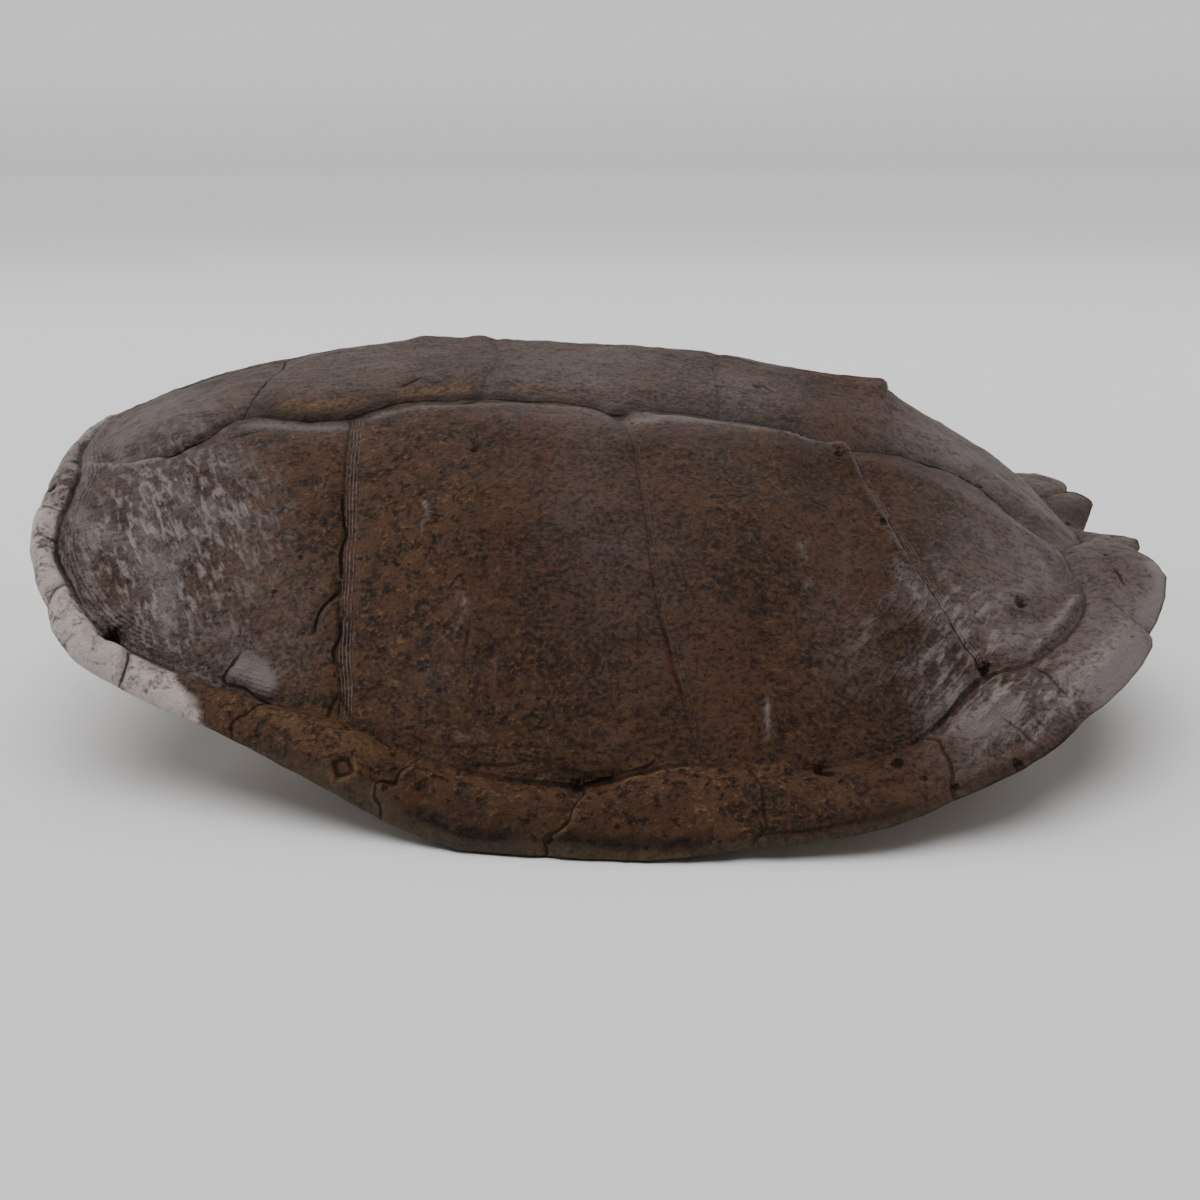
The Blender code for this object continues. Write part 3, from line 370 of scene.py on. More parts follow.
                ([(-64, 39.6), (-50, 39.4), (-42, 40)], 2.4, 0.55),
                ([(-31, 40), (-22, 39), (-14, 40)], 1.8, 0.35),
            ],
            "both band": [
                ([(4.95, 0.3), (5.4, 0.35), (5.8, 0.3)], 4, 0.3),
                ([(6.9, 0.97), (7.3, 0.98), (7.7, 0.98)], 1.6, 0.35),
            ],
        },
        "red": {
            "left dome": [
                ([(-19, 73), (-17.4, 73.8), (-16.8, 75)], 0.8, 1),
                ([(-20, 84), (-16, 85), (-12, 85)], 1.6, 0.18),
                ([(-19, 103), (-13, 103), (-8, 102)], 2.6, 0.2), ([(14.6, 117), (16.6, 123)], 0.5, 0.9),
            ],
            "both dome": [([(58, 1), (80, 1)], 2.6, 0.3)],
            "right band": [([(12.87, 0.3), (12.86, 0.34)], 1, 0.9)],
        },
    },
    # linear colours
    "umber": (0.035, 0.0188, 0.0125, 1),      # the horn's ground colour
    "chestnut": (0.073, 0.0350, 0.0208, 1),
    "russet": (0.090, 0.0430, 0.0220, 1),
    "ochre": (0.190, 0.1050, 0.0430, 1),
    "sootAndShade": (0.0070, 0.0050, 0.0042, 1),      # blotches, cracks and grooves, and painted shade
    "lilac": (0.176, 0.1450, 0.1390, 1),      # pale film on the smooth parts, partly painted sheen
    "bleachedAndHighlight": (0.500, 0.4250, 0.3960, 1),   # the front marginals' pale horn, and painted highlights on flecks and ridges
    "rimTan": (0.066, 0.0480, 0.0310, 1),
    "seamEdge": (0.105, 0.0620, 0.0380, 1),
    "redStain": (0.150, 0.0300, 0.0180, 1),
    "bone": (0.330, 0.2500, 0.1700, 1),       # the hollow underneath
    "boneStain": (0.170, 0.1150, 0.0720, 1),
    # sizes of the patterns, in metres
    "cloud": 0.022,
    "mottle": 0.0040,
    "blotch": 0.0024,
    "speck": 0.0013,
    "fine": 0.0006,
    "dots": 0.0060,
    "fibre": 0.0018,
    "slant": (0.0019, (0, 0.51, 1.04)),       # size of the head end's streaks, and turn
    "rake": (0.0021, (0, -0.52, -0.88)),      # the same towards the tail
    "streakStretch": (3.4, 1, 1.2),
    "roughness": (0.36, 0.62),
    "specular": 0.20,
}

seamTotal, tail = 26, 13         # seam counts once round the shell, and at the tail
farOff = 99.0                    # the distance kept where no line is near

print("carapace: working out the surface")


def hermite(points, slopes, i, u, gap):
    # cubic from point i to the next one, g apart: (2u^3 - 3u^2 + 1) p0 + (u^3 - 2u^2 + u) g s0, and the same
    # from the other end, (3u^2 - 2u^3) p1 + (u^3 - u^2) g s1
    start = (2 * u ** 3 - 3 * u ** 2 + 1) * points[i] + (u ** 3 - 2 * u ** 2 + u) * gap * slopes[i]
    return start + (3 * u ** 2 - 2 * u ** 3) * points[i + 1] + (u ** 3 - u ** 2) * gap * slopes[i + 1]


def ringCurve(table, count):
    # closed ring through a table of one side and its mirror image: cubics, slopes from the neighbours
    left = np.array(table, float) * (1, 1, -1, 1)
    around = np.array([seamTotal, 0, 0, 0])
    full = np.vstack([left, left[-2:0:-1] * (-1, 1, -1, 1) + around])
    full = np.vstack([full[-3:] - around, full, full[:3] + around])
    knots, points = full[:, 0], full[:, 1:]
    gap = np.diff(knots)[:, None]
    slope = np.diff(points, axis=0) / gap
    between = (gap[1:] * slope[:-1] + gap[:-1] * slope[1:]) / (gap[1:] + gap[:-1])
    tangent = np.vstack([slope[:1], between, slope[-1:]])
    count = np.mod(count, seamTotal)
    i = np.searchsorted(knots, count, "right") - 1
    step = (knots[i + 1] - knots[i])[..., None]
    return hermite(points, tangent, i, (count - knots[i])[..., None] / step, step)


def fromHead(count):
    # seam count read from the head end on either side: c, or 26 - c past the tail
    side = np.mod(count, seamTotal)
    return np.where(side > tail, seamTotal - side, side)


def marginalPlace(count):
    # which marginal a seam count lies on, 0 for the nuchal, and how far along it: whole part and remainder
    side = fromHead(count)
    number = np.minimum(side.astype(int), tail - 1)
    return number, side - number


def outwardOf(count):
    # plan direction square to the free edge, away from the middle: the edge's direction turned a quarter
    ahead = ringCurve(carapace["freeEdge"], count + 0.02) - ringCurve(carapace["freeEdge"], count - 0.02)
    side = np.stack([-ahead[..., 1], ahead[..., 0], 0 * ahead[..., 0]], -1)
    side /= np.linalg.norm(side, axis=-1, keepdims=True)
    return side * np.sign((side * ringCurve(carapace["freeEdge"], count)).sum(-1, keepdims=True))


def freeEdge(count):
    # the lowest edge: the ring plus a tooth of two half parabolas on each marginal, never below the ground
    number, place = marginalPlace(count)
    reach, peak, lift = np.moveaxis(np.array(carapace["teeth"], float)[number], -1, 0)
    slope = np.where(place < peak, peak - place, place - peak) / np.where(place < peak, peak, 1 - peak)
    tooth = 1 - slope ** np.where(number > 10, 1.4, 2.0)
    edge = ringCurve(carapace["freeEdge"], count) + outwardOf(count) * (reach * tooth)[..., None]
    edge[..., 2] = np.maximum(edge[..., 2] + tooth * lift, 0)
    return edge


def plateWeight(square):
    # kernel of the bent plate: r squared times log r
    return 0.5 * square * np.log(np.maximum(square, 1e-9))


def bendPlate():
    # weights of the smoothly bent plate through the inner seam, middle line, corners and crowns: the linear
    # system of kernels and a plane, with a little give at each point
    counts = np.append(np.arange(0, seamTotal, 0.5), [11.6, 14.4])      # two more where the seam bends most
    points = [tuple(p) for p in ringCurve(carapace["innerSeam"], counts)]
    points += [(x, 0, z) for x, z in carapace["middle"]]
    points += [(x, s * y, z) for s in (-1, 1) for x, y, z in carapace["corners"] + carapace["crowns"]]
    points = np.array(points, float)
    flat = points[:, :2]
    bend = plateWeight(((flat[:, None] - flat[None]) ** 2).sum(-1)) + carapace["give"] * np.eye(len(flat))
    plane = np.hstack([np.ones((len(flat), 1)), flat])
    system = np.block([[bend, plane], [plane.T, np.zeros((3, 3))]])
    return flat, np.linalg.solve(system, np.append(points[:, 2], [0, 0, 0]))


def plateHeight(plate, flat):
    # height of the dome: a plane plus each centre's weight times the kernel of the distance to it
    centres, weights = plate
    height = weights[-3] + weights[-2] * flat[..., 0] + weights[-1] * flat[..., 1]
    for centre, weight in zip(centres, weights):
        height = height + weight * plateWeight(((flat - centre) ** 2).sum(-1))
    return height


def wrapSquare(cells):
    # square rings become rings of the shell: the larger of |a| and |b| is the ring, and the turn round it,
    # even along the square's sides, is read as a seam count where the free edge has that turn
    steps = np.linspace(-1, 1, cells + 1)
    a, b = np.meshgrid(steps, steps, indexing="ij")
    ring = np.maximum(abs(a), abs(b))
    angle = np.where(
        abs(a) >= abs(b),
        np.pi / 4 * b / np.where(a == 0, 1, a) + np.where(a < 0, np.pi, 0),
        np.pi / 2 - np.pi / 4 * a / np.where(b == 0, 1, b) + np.where(b < 0, np.pi, 0),
    )
    angle = np.mod(angle + np.pi, 2 * np.pi)
    counts = np.linspace(0, seamTotal, 521)
    edge = ringCurve(carapace["freeEdge"], counts)
    halfLength, halfWidth = carapace["halfSize"]
    turn = np.unwrap(np.arctan2(edge[:, 1] / halfWidth, edge[:, 0] / halfLength))
    return ring.ravel(), np.interp(angle, abs(turn - turn[0]), counts).ravel()


def smoothShell(ring, count, split, across, plate):
    # the bent plate inside the inner seam, shrunk evenly towards the middle, then the straight marginal band
    seam = ringCurve(carapace["innerSeam"], count)
    flat = seam[:, :2] * np.minimum(ring / split, 1)[:, None]
    dome = np.column_stack([flat, plateHeight(plate, flat)])
    return np.where((ring > split + 1e-6)[:, None], bandPoint(count, across), dome)


def gridNormals(points, cells, soften=3):
    # normals of a grid: cross product of its two directions, averaged over the neighbours, of length 1
    grid = points.reshape(cells + 1, cells + 1, 3)
    normal = np.cross(np.gradient(grid, axis=0), np.gradient(grid, axis=1))
    for _ in range(soften):
        wide = np.pad(normal, ((1, 1), (1, 1), (0, 0)), mode="edge")
        normal = wide[2:, 1:-1] + wide[:-2, 1:-1] + wide[1:-1, 2:] + wide[1:-1, :-2] + 2 * normal
    normal = normal.reshape(-1, 3)
    return normal / np.linalg.norm(normal, axis=1, keepdims=True)


def latticeNoise(points, size, seed):
    # value noise from -1 to 1: a number hashed at each lattice corner, blended smoothly between corners
    q = np.asarray(points, float) / size + 1000
    i = np.floor(q).astype(np.int64)
    f = q - i
    f = f * f * (3 - 2 * f)
    total = 0
    for corner in range(8):
        bit = np.array([corner & 1, corner >> 1 & 1, corner >> 2 & 1])
        k = i + bit
        h = (k[:, 0] * 73856093 ^ k[:, 1] * 19349663 ^ k[:, 2] * 83492791 ^ seed * 2654435761) & 0x7FFFFFFF
        h = (h ^ h >> 13) * 1274126177 & 0x7FFFFFFF
        h = (h ^ h >> 16) & 0xFFFF
        total = total + (h / 32767.5 - 1) * np.prod(np.where(bit, f, 1 - f), axis=1)
    return total


def cloudNoise(points, size, seed, octaves=3):
    # value noise at halving sizes and halving strengths
    return sum(latticeNoise(points, size / 2 ** k, seed + k) / 2 ** k for k in range(octaves)) / 1.75


def curveThrough(points, step=0.8):
    # a smooth line through points, sampled at even steps: cubics with slopes from the neighbours
    points = np.array(points, float)
    walk = np.append(0, np.cumsum(np.linalg.norm(np.diff(points, axis=0), axis=1)))
    fine = np.linspace(0, walk[-1], max(int(walk[-1] / step), 3) + 1)
    i = np.clip(np.searchsorted(walk, fine, "right") - 1, 0, len(walk) - 2)
    gap = (walk[i + 1] - walk[i])[:, None]
    return hermite(points, np.gradient(points, walk, axis=0), i, (fine - walk[i])[:, None] / gap, gap)


def bandPoint(count, across):
    # a place on the marginal band: seam + across (edge - seam)
    seam = ringCurve(carapace["innerSeam"], count)
    return seam + (freeEdge(count) - seam) * np.asarray(across)[..., None]


def bandSpot(count, across):
    # the same for a single place
    return bandPoint(np.array([count]), np.array([across]))[0]


def layLine(plate, place, points):
    # a line on the animal's left side of the smooth shell, with the outward normal at each of its points:
    # on the dome (-dz/dx, -dz/dy, 1), on the band the way across it crossed with the way along it
    if place == "dome":
        flat = curveThrough(points) * (1, -1)
        dx, dy = np.array((0.5, 0)), np.array((0, 0.5))
        slopeX = plateHeight(plate, flat + dx) - plateHeight(plate, flat - dx)
        slopeY = plateHeight(plate, flat + dy) - plateHeight(plate, flat - dy)
        upward = np.stack([-slopeX, -slopeY, np.ones(len(flat))], -1)
        return np.column_stack([flat, plateHeight(plate, flat)]), upward
    count, across = np.array(points, float).T
    line = curveThrough(bandPoint(count, across))
    middle = np.full(len(line), count.mean())
    ahead = ringCurve(carapace["innerSeam"], middle + 0.1) - ringCurve(carapace["innerSeam"], middle - 0.1)
    return line, np.cross(bandPoint(middle, 1 + 0 * middle) - bandPoint(middle, 0 * middle), ahead)


def lineGap(points, line, upward, reach=12.0):
    # signed distance to a line lying on the surface, plus on the side of upward x ahead, and the run along
    # it to the nearer end; points out of reach keep the distance farOff
    ahead = np.gradient(line, axis=0)
    ahead /= np.linalg.norm(ahead, axis=1, keepdims=True)
    side = np.cross(upward, ahead)
    side /= np.linalg.norm(side, axis=1, keepdims=True)
    walk = np.append(0, np.cumsum(np.linalg.norm(np.diff(line, axis=0), axis=1)))
    gap = np.full(len(points), farOff)
    run = np.full(len(points), -farOff)
    close = np.flatnonzero(np.all((points > line.min(0) - reach) & (points < line.max(0) + reach), axis=1))
    for first in range(0, len(close), 15000):
        pick = close[first:first + 15000]
        some = points[pick]
        best = ((some ** 2).sum(1)[:, None] - 2 * some @ line.T + (line ** 2).sum(1)).argmin(1)
        away = some - line[best]
        far = np.linalg.norm(away, axis=1)
        off = (away * side[best]).sum(1)
        gap[pick] = np.where(far > 1.5, np.copysign(far, off), off)
        run[pick] = walk[best] + (away * ahead[best]).sum(1)
    return gap, np.minimum(run, walk[-1] - run)


def bump(value, width):
    # bell curve of a distance: e to the minus square of value over width
    return np.exp(-(value / width) ** 2)


def step01(value, low, high):
    # smooth rise from 0 at low to 1 at high: 3t^2 - 2t^3
    t = np.clip((value - low) / (high - low), 0, 1)
    return t * t * (3 - 2 * t)


def fromSegment(flat, start, end):
    # place along a straight piece, from 0 to 1, and the distance to its nearest point
    run = end - start
    along = np.clip(((flat - start) @ run) / (run @ run), 0, 1)
    return along, np.linalg.norm(flat - start - along[:, None] * run, axis=1)


def keelRelief(flat):
    # crests whose height changes evenly along them, each falling away on both sides as a bell curve
    height = np.zeros(len(flat))
    for x0, y0, x1, y1, h0, h1, width in carapace["keels"]:
        for side in ((-1, 1) if y0 else (1,)):
            along, off = fromSegment(flat, np.array([x0, y0 * side], float), np.array([x1, y1 * side], float))
            height += (h0 + (h1 - h0) * along) * bump(off, width)
    return height


def keepNearest(fields, name, gap, ink):
    # the nearest line of a family rules: its signed distance, and its darkness close to the line
    near = abs(gap) < abs(fields.setdefault(name, np.full(len(gap), farOff)))
    fields.setdefault(name + "Ink", np.zeros(len(gap)))
    fields[name] = np.where(near, gap, fields[name])
    fields[name + "Ink"] = np.where(near, ink * np.clip(3.6 - abs(gap), 0, 1), fields[name + "Ink"])


def patches(flat, table):
    # soft round patches: strengths times bell curves, added up, at most 1
    total = sum(s * bump(np.linalg.norm(flat - (x, -y), axis=1), r) for x, y, r, s in table)
    return np.clip(total, 0, 1)


def marksOf(table):
    # each mark of a table with its side, -1, 0 or 1 for left, both or right, and its kind of place
    for key, marks in table.items():
        side, place = key.split()
        for mark in marks:
            yield ("left", "both", "right").index(side) - 1, place, *mark


def seamRelief(plate, folded, onBand, fields):
    # creases, lips and lined strips along the seams of the scutes: sums of bell curves of the distance to
    # each seam, which wanders a little
    wander = 0.4 * latticeNoise(folded, 5.0, 3) + 0.3 * latticeNoise(folded, 2.0, 4)
    relief = np.zeros(len(folded))
    line, upward = layLine(plate, "dome", carapace["vertebralEdge"])
    gap, run = lineGap(folded, line, upward, 60.0)
    patchy = step01(cloudNoise(folded, 14, 8), -0.35, 0.35)
    # the dark line fades at the head end
    inked = (0.45 + 0.5 * patchy) * (0.12 + 0.88 * step01(folded[:, 0], -134, -128))
    keepNearest(fields, "gapV", gap + wander, inked)
    crease = -2.2 * bump(gap, 8) * step01(run, -4, 22) - 0.8 * bump(gap + wander, 1.1) * inked
    relief += np.where(onBand, 0, crease)
    # vale: painted shade in the valley beside the vertebral seam, added to the shade field below
    fields["vale"] = bump(gap - 0.8, 2.0) * step01(run, 10, 30) * ~onBand
    lined = np.zeros(len(folded))
    for points, dark, headLip, tailLip, strip, much in carapace["across"]:
        line, upward = layLine(plate, "dome", points)
        gap, run = lineGap(folded, line, upward, 16.0)
        on = step01(run, -2, 2) * ~onBand
        wavy = gap + wander * (0.35 if strip else 1)
        keepNearest(fields, "gapT", wavy, dark * step01(run, -0.6, 1.2))
        depth = 0.5 + 0.7 * dark
        shape = -0.6 * depth * bump(gap - 0.4 * strip, 4.0) - 0.7 * dark * bump(wavy, 0.9)
        shape += headLip * bump(wavy + 3.2, 2.2) + tailLip * bump(wavy - strip - 1.6, 1.5)
        if strip:
            inside = step01(wavy, -0.6, 0.6) * step01(strip - wavy + 1.2 * wander, -0.9, 0.9)
            shape -= 0.25 * inside
            lined = np.maximum(lined, much * inside * on)
        relief += shape * on
    fields["lined"] = lined
    counts = np.linspace(0, 13, 640)
    ring = ringCurve(carapace["innerSeam"], counts)
    upward = np.cross(bandPoint(counts, 1 + 0 * counts) - ring, np.gradient(ring, axis=0))
    gap = lineGap(folded, ring, upward, 90.0)[0]
    fields["ringGap"] = abs(gap) * np.where(onBand, -1, 1)
    return relief, wander, patchy


def markRelief(plate, points, folded, fields):
    # cracks, pits and the scar: bell curves of the distance to a line or point, hollow or raised; the smears
    # of colour are bell curves across their lines
    relief = np.zeros(len(points))
    wander = 0.4 * latticeNoise(folded, 3.5, 5) + 0.2 * latticeNoise(folded, 1.6, 6)
    for kind in carapace["smears"]:
        fields[kind] = np.zeros(len(points))
    for side, place, line, depth, width, dark in marksOf(carapace["cracks"]):
        gap, run = lineGap(folded, *layLine(plate, place, line), 9.0)
        on = step01(run, -1.5, 2.5) * (points[:, 1] * side > 0)
        wavy = np.where(on > 0, gap + wander, farOff)
        relief -= depth * bump(wavy, width) * on
        if dark > 0:
            relief += 0.3 * depth * bump(wavy - 2.2 * width, width) * on
            keepNearest(fields, "gapC", wavy, dark * on)
        else:
            # a raised crack without a dark line gets pale film along it, in part a painted highlight; a
            # negative dark line gives an ochre edge
            kind, much = ("ochre", -dark) if dark else ("filmAndSheen", 0.75 * min(1, abs(depth)))
            fields[kind] = np.maximum(fields[kind], bump(wavy, width * 0.7) * on * much)
    for kind, smears in carapace["smears"].items():
        for side, place, line, width, much in marksOf(smears):
            gap, run = lineGap(folded, *layLine(plate, place, line), 4 * width)
            on = (points[:, 1] * side >= 0) * step01(run, -width, width)
            fields[kind] = np.maximum(fields[kind], much * on * bump(gap + wander * min(width, 2), width))
    fields["pitGap"] = np.full(len(points), 9.0)
    fields["pitInk"] = np.zeros(len(points))
    for side, place, at, radius, depth, rim in marksOf(carapace["pits"]):
        if place == "band":
            centre = bandSpot(*at)
        else:
            flat = np.array([at], float) * (1, -1)
            centre = np.append(flat[0], plateHeight(plate, flat))
        off = np.linalg.norm(folded - centre, axis=1) * (1 + 0.25 * wander)
        on = points[:, 1] * side > 0
        relief += on * (rim * bump(off - 1.5 * radius, 0.7 * radius) - depth * bump(off, radius))
        near = on & (off / radius < fields["pitGap"])
        fields["pitGap"] = np.where(near, off / radius, fields["pitGap"])
        # pits with a raised rim are lighter inside
        ink = min(1, 0.35 + depth) * (1 - 0.6 * step01(rim, 1.0, 1.2) * step01(0.75 - off / radius, 0, 0.4))
        fields["pitInk"] = np.where(near & (off < 3 * radius), ink, fields["pitInk"])
    count, across, half, rim, hollow = carapace["scar"]
    centre = bandSpot(count, across)
    ahead = bandSpot(count + 0.02, across) - centre
    down = bandSpot(count, across + 0.05) - centre
    ahead, down = ahead / np.linalg.norm(ahead), down / np.linalg.norm(down)
    away = folded - centre
    square = np.maximum(abs(away @ (ahead + down)), abs(away @ (ahead - down))) / 1.41 + 0.5 * wander
    on = points[:, 1] < 0
    relief += on * (rim * bump(square - half, 0.9) - hollow * step01(half - square, 0, 1.2))
    fields["ochre"] = np.maximum(fields["ochre"], 0.5 * on * bump(square - half, 0.6))
    keepNearest(fields, "gapC", np.where(on, square - half + 1.5, farOff), 0.75)
    return relief


def grainRelief(points, folded, onBand, fields):
    # lumps everywhere, and streaks: noise drawn out along the shell, slanting at the head end, and along the
    # margins; a crest is one minus the size of the noise
    # noise on two drawn-out coordinates, and its crests
    def drawn(across, along, size, seed, octaves=3):
        return cloudNoise(np.column_stack([across, along, along * 0]), size, seed, octaves)

    def crests(noise):
        return np.clip(1 - abs(3.2 * noise), 0, 1)

    def around(name):
        # 1 at a named place, falling away from it as a bell curve
        placeX, placeY, radius, longer = carapace[name]
        return bump(np.hypot((x - placeX) / longer, y + placeY), radius)

    left = points[:, 1] < 0
    place = folded + np.where(left, 0, 500)[:, None]     # each side has a noise of its own
    shift = np.where(left, 0, 300)
    (coarse, coarseSize), (small, smallSize) = carapace["lumps"]
    lumps = coarse * cloudNoise(place, coarseSize, 11) + small * cloudNoise(place, smallSize, 15, 2)
    x, y = folded[:, 0], folded[:, 1]
    warp = 2.5 * cloudNoise(place, 24, 19, 2)
    streakX = cloudNoise(np.column_stack([x / 4 + shift, y + warp, folded[:, 2]]), 4.5, 21)
    u, v = 0.83 * x + 0.55 * y, 0.55 * x - 0.83 * y
    streakD = drawn(u + 2 * warp + shift, v / 2.6, 7.0, 25)
    crestD = crests(drawn(u + 2 * warp + shift, v / 2.2, 9.0, 35, 2))
    margin, run = fields["ringGap"], fields["ringAlong"]
    streakB = drawn(margin + 1.2 * warp + shift, run / 4, 4.6, 29)
    crestB = crests(drawn(margin + 1.5 * warp + shift, run / 3, 6.5, 37, 2))
    onD = around("slantedPlace") * ~onBand
    rear = around("rearPlace") * ~onBand
    onB = np.where(onBand, 0.4, 0.25 + 0.75 * bump(margin, 22)) * (1 - 0.8 * onD)
    onB = np.maximum(onB, rear)
    onX = np.where(onBand, 0.0, 1 - np.clip(onB + onD, 0, 1))
    relief = lumps + 0.35 * onX * streakX + onD * (1.0 * streakD + 1.1 * crestD) + onB * 0.5 * streakB
    relief += rear * (0.5 * streakB + 0.8 * crestB) + 0.3 * crestB * (onBand & (margin < -4) & (x > 60))
    fields["slant"] = onD
    fields["raked"] = np.where(onBand, 0.7 * around("rakedBandPlace"), around("rakedPlace"))
    # crest: where the lilac film is thicker, a painted highlight on the tops of the streaks
    fields["crest"] = np.clip(0.40 + 0.8 * (onD * streakD + 0.8 * onB * streakB + 0.6 * onX * streakX)
                              + 0.6 * (onD * crestD + rear * crestB), 0, 1)
    fields["rows"] = np.clip(step01(-x, 108, 128) * bump(margin - 5, 4.5) * ~onBand
                             + 0.45 * around("rowsPlace")
                             + 0.7 * rear * bump(margin - 4, 5), 0, 1)
    return relief * (1 - 0.6 * fields["lined"])


def bandRelief(count, across, folded, wander, fields):
    # the marginals: a rolled inner lip that rises as a parabola and falls as a cubic, a rounded outer face,
    # creased seams, and the worn rim below them
    number = marginalPlace(count)[0]
    side = fromHead(count)
    lip, peak = np.moveaxis(np.array(carapace["lips"], float)[number], -1, 0)
    peak = peak * np.where(side < 4.2, 0.5, 1.0)
    rise = np.where(across < peak, 1 - (1 - across / peak) ** 2, 1 - ((across - peak) / (1 - peak)) ** 3)
    puff = 1.6 - 0.8 * step01(side, 8.8, 9.6)
    relief = lip * rise + puff * np.sqrt(np.clip(1 - across ** 4, 0, 1)) * np.minimum(across * 4, 1)
    off = -fields["ringGap"]
    relief -= fields["grooveDepth"] * (1.3 * bump(off, 2.2) + 0.9 * bump(off + wander, 1.0))
    fade = np.minimum(across * 6, 1) * np.clip((1 - across) * 8, 0.25, 1)
    for points, dark, headLip, tailLip in carapace["marginal"]:
        gap, run = lineGap(folded, *layLine(None, "band", points), 10.0)
        wavy = gap + wander
        lips = headLip * bump(wavy + 2.0, 1.6) + tailLip * step01(wavy, 0.2, 1.2) * bump(wavy - 1, 5)
        relief += fade * (lips - 0.7 * dark * bump(wavy, 0.9) - 0.3 * bump(wavy, 3.5))
        keepNearest(fields, "gapM", wavy, dark * step01(run, -2.0, 2.0))
    rimLine = np.interp(side, *np.transpose(carapace["rimStart"]))
    below = step01(across - rimLine - 0.03 * cloudNoise(folded, 8, 41), -0.015, 0.03)
    fields["rim"] = below * step01(side, 4.6, 5.8) * step01(-side, -10, -9)
    return relief - 0.5 * below


def domeRelief(points, folded, wander, fields):
    # the dome's forms: keels, the groove and lip beside the marginals, the ledge at the last middle seam, the
    # knob of the side scutes and the worn slab on the left
    flat, (x, y) = points[:, :2], points[:, :2].T
    off = fields["ringGap"]
    groove = -fields["grooveDepth"] * (1.3 * bump(off, 3.0) + 0.9 * bump(off + wander, 1.0))
    gap, width, start, end, height = carapace["headLip"]
    lipHeight = height * bump(off - gap, width) * step01(-x, start, end)
    edge, rise, length, width, height = carapace["ledge"]
    ledge = height * step01(edge - x, 0, rise) * bump(edge - 0.5 - x, length) * bump(y, width)
    placeX, placeY, radius, height = carapace["knob"]
    knob = height * bump(np.linalg.norm(folded[:, :2] - (placeX, -placeY), axis=1), radius)
    start, end, half, soft, height = carapace["slab"]
    off = fromSegment(folded[:, :2], np.array(start) * (1, -1), np.array(end) * (1, -1))[1]
    slab = step01(half - off, 0, soft) * (y < 0)
    return keelRelief(flat) + groove + lipHeight + ledge + knob + height * slab, slab


def colourFields(points, folded, side, across, onBand, fields):
    # strengths of the colours, from 0 to 1: the pale front marginals end on a slant, the rear ones are pale
    # in part, and rust lies between them; on the dome they are patches. The pale is partly the horn's own
    # tone and partly painted sheen
    x, flat = points[:, 0], folded[:, :2]
    ragged = 0.12 * cloudNoise(folded, 6, 51)
    front = step01(carapace["paleFrontTo"] - side + ragged + 0.5 * across, 0, 0.14)
    back = step01(side, carapace["paleFrom"], carapace["paleFrom"] + 0.6)
    front *= 0.62 - 0.2 * step01(side, 0.8, 1.2) + 0.58 * step01(side, 1.85, 2.15)
    # the white on the tenth marginal is a painted sheen
    edgeWhite = np.maximum(front, 0.45 * bump(side - 10.45, 0.5) * step01(across, 0.2, 0.7)) * onBand
    fields["white"] = np.maximum(fields["white"], edgeWhite)
    # the rear marginals' pale and the front lip's pale: partly pale horn, partly painted sheen
    bandPale = np.maximum(front, (0.45 + 0.4 * bump(side - 10.6, 0.7)) * back * step01(0.99 - across, 0, 0.2))
    lipPale = 0.85 * step01(-x, 100, 128) * step01(9 - fields["ringGap"], 0, 6)
    fields["pale"] = np.where(onBand, bandPale, np.maximum(patches(flat, carapace["pale"]), lipPale))
    start, end = carapace["rusty"]
    bandRust = step01(side, start, start + 0.5) * step01(end - side, 0, 0.8)
    bandRust *= 1 - 0.45 * step01(side, 7.8, 8.1)
    fields["rust"] = np.where(onBand, bandRust, patches(flat, carapace["rust"]))


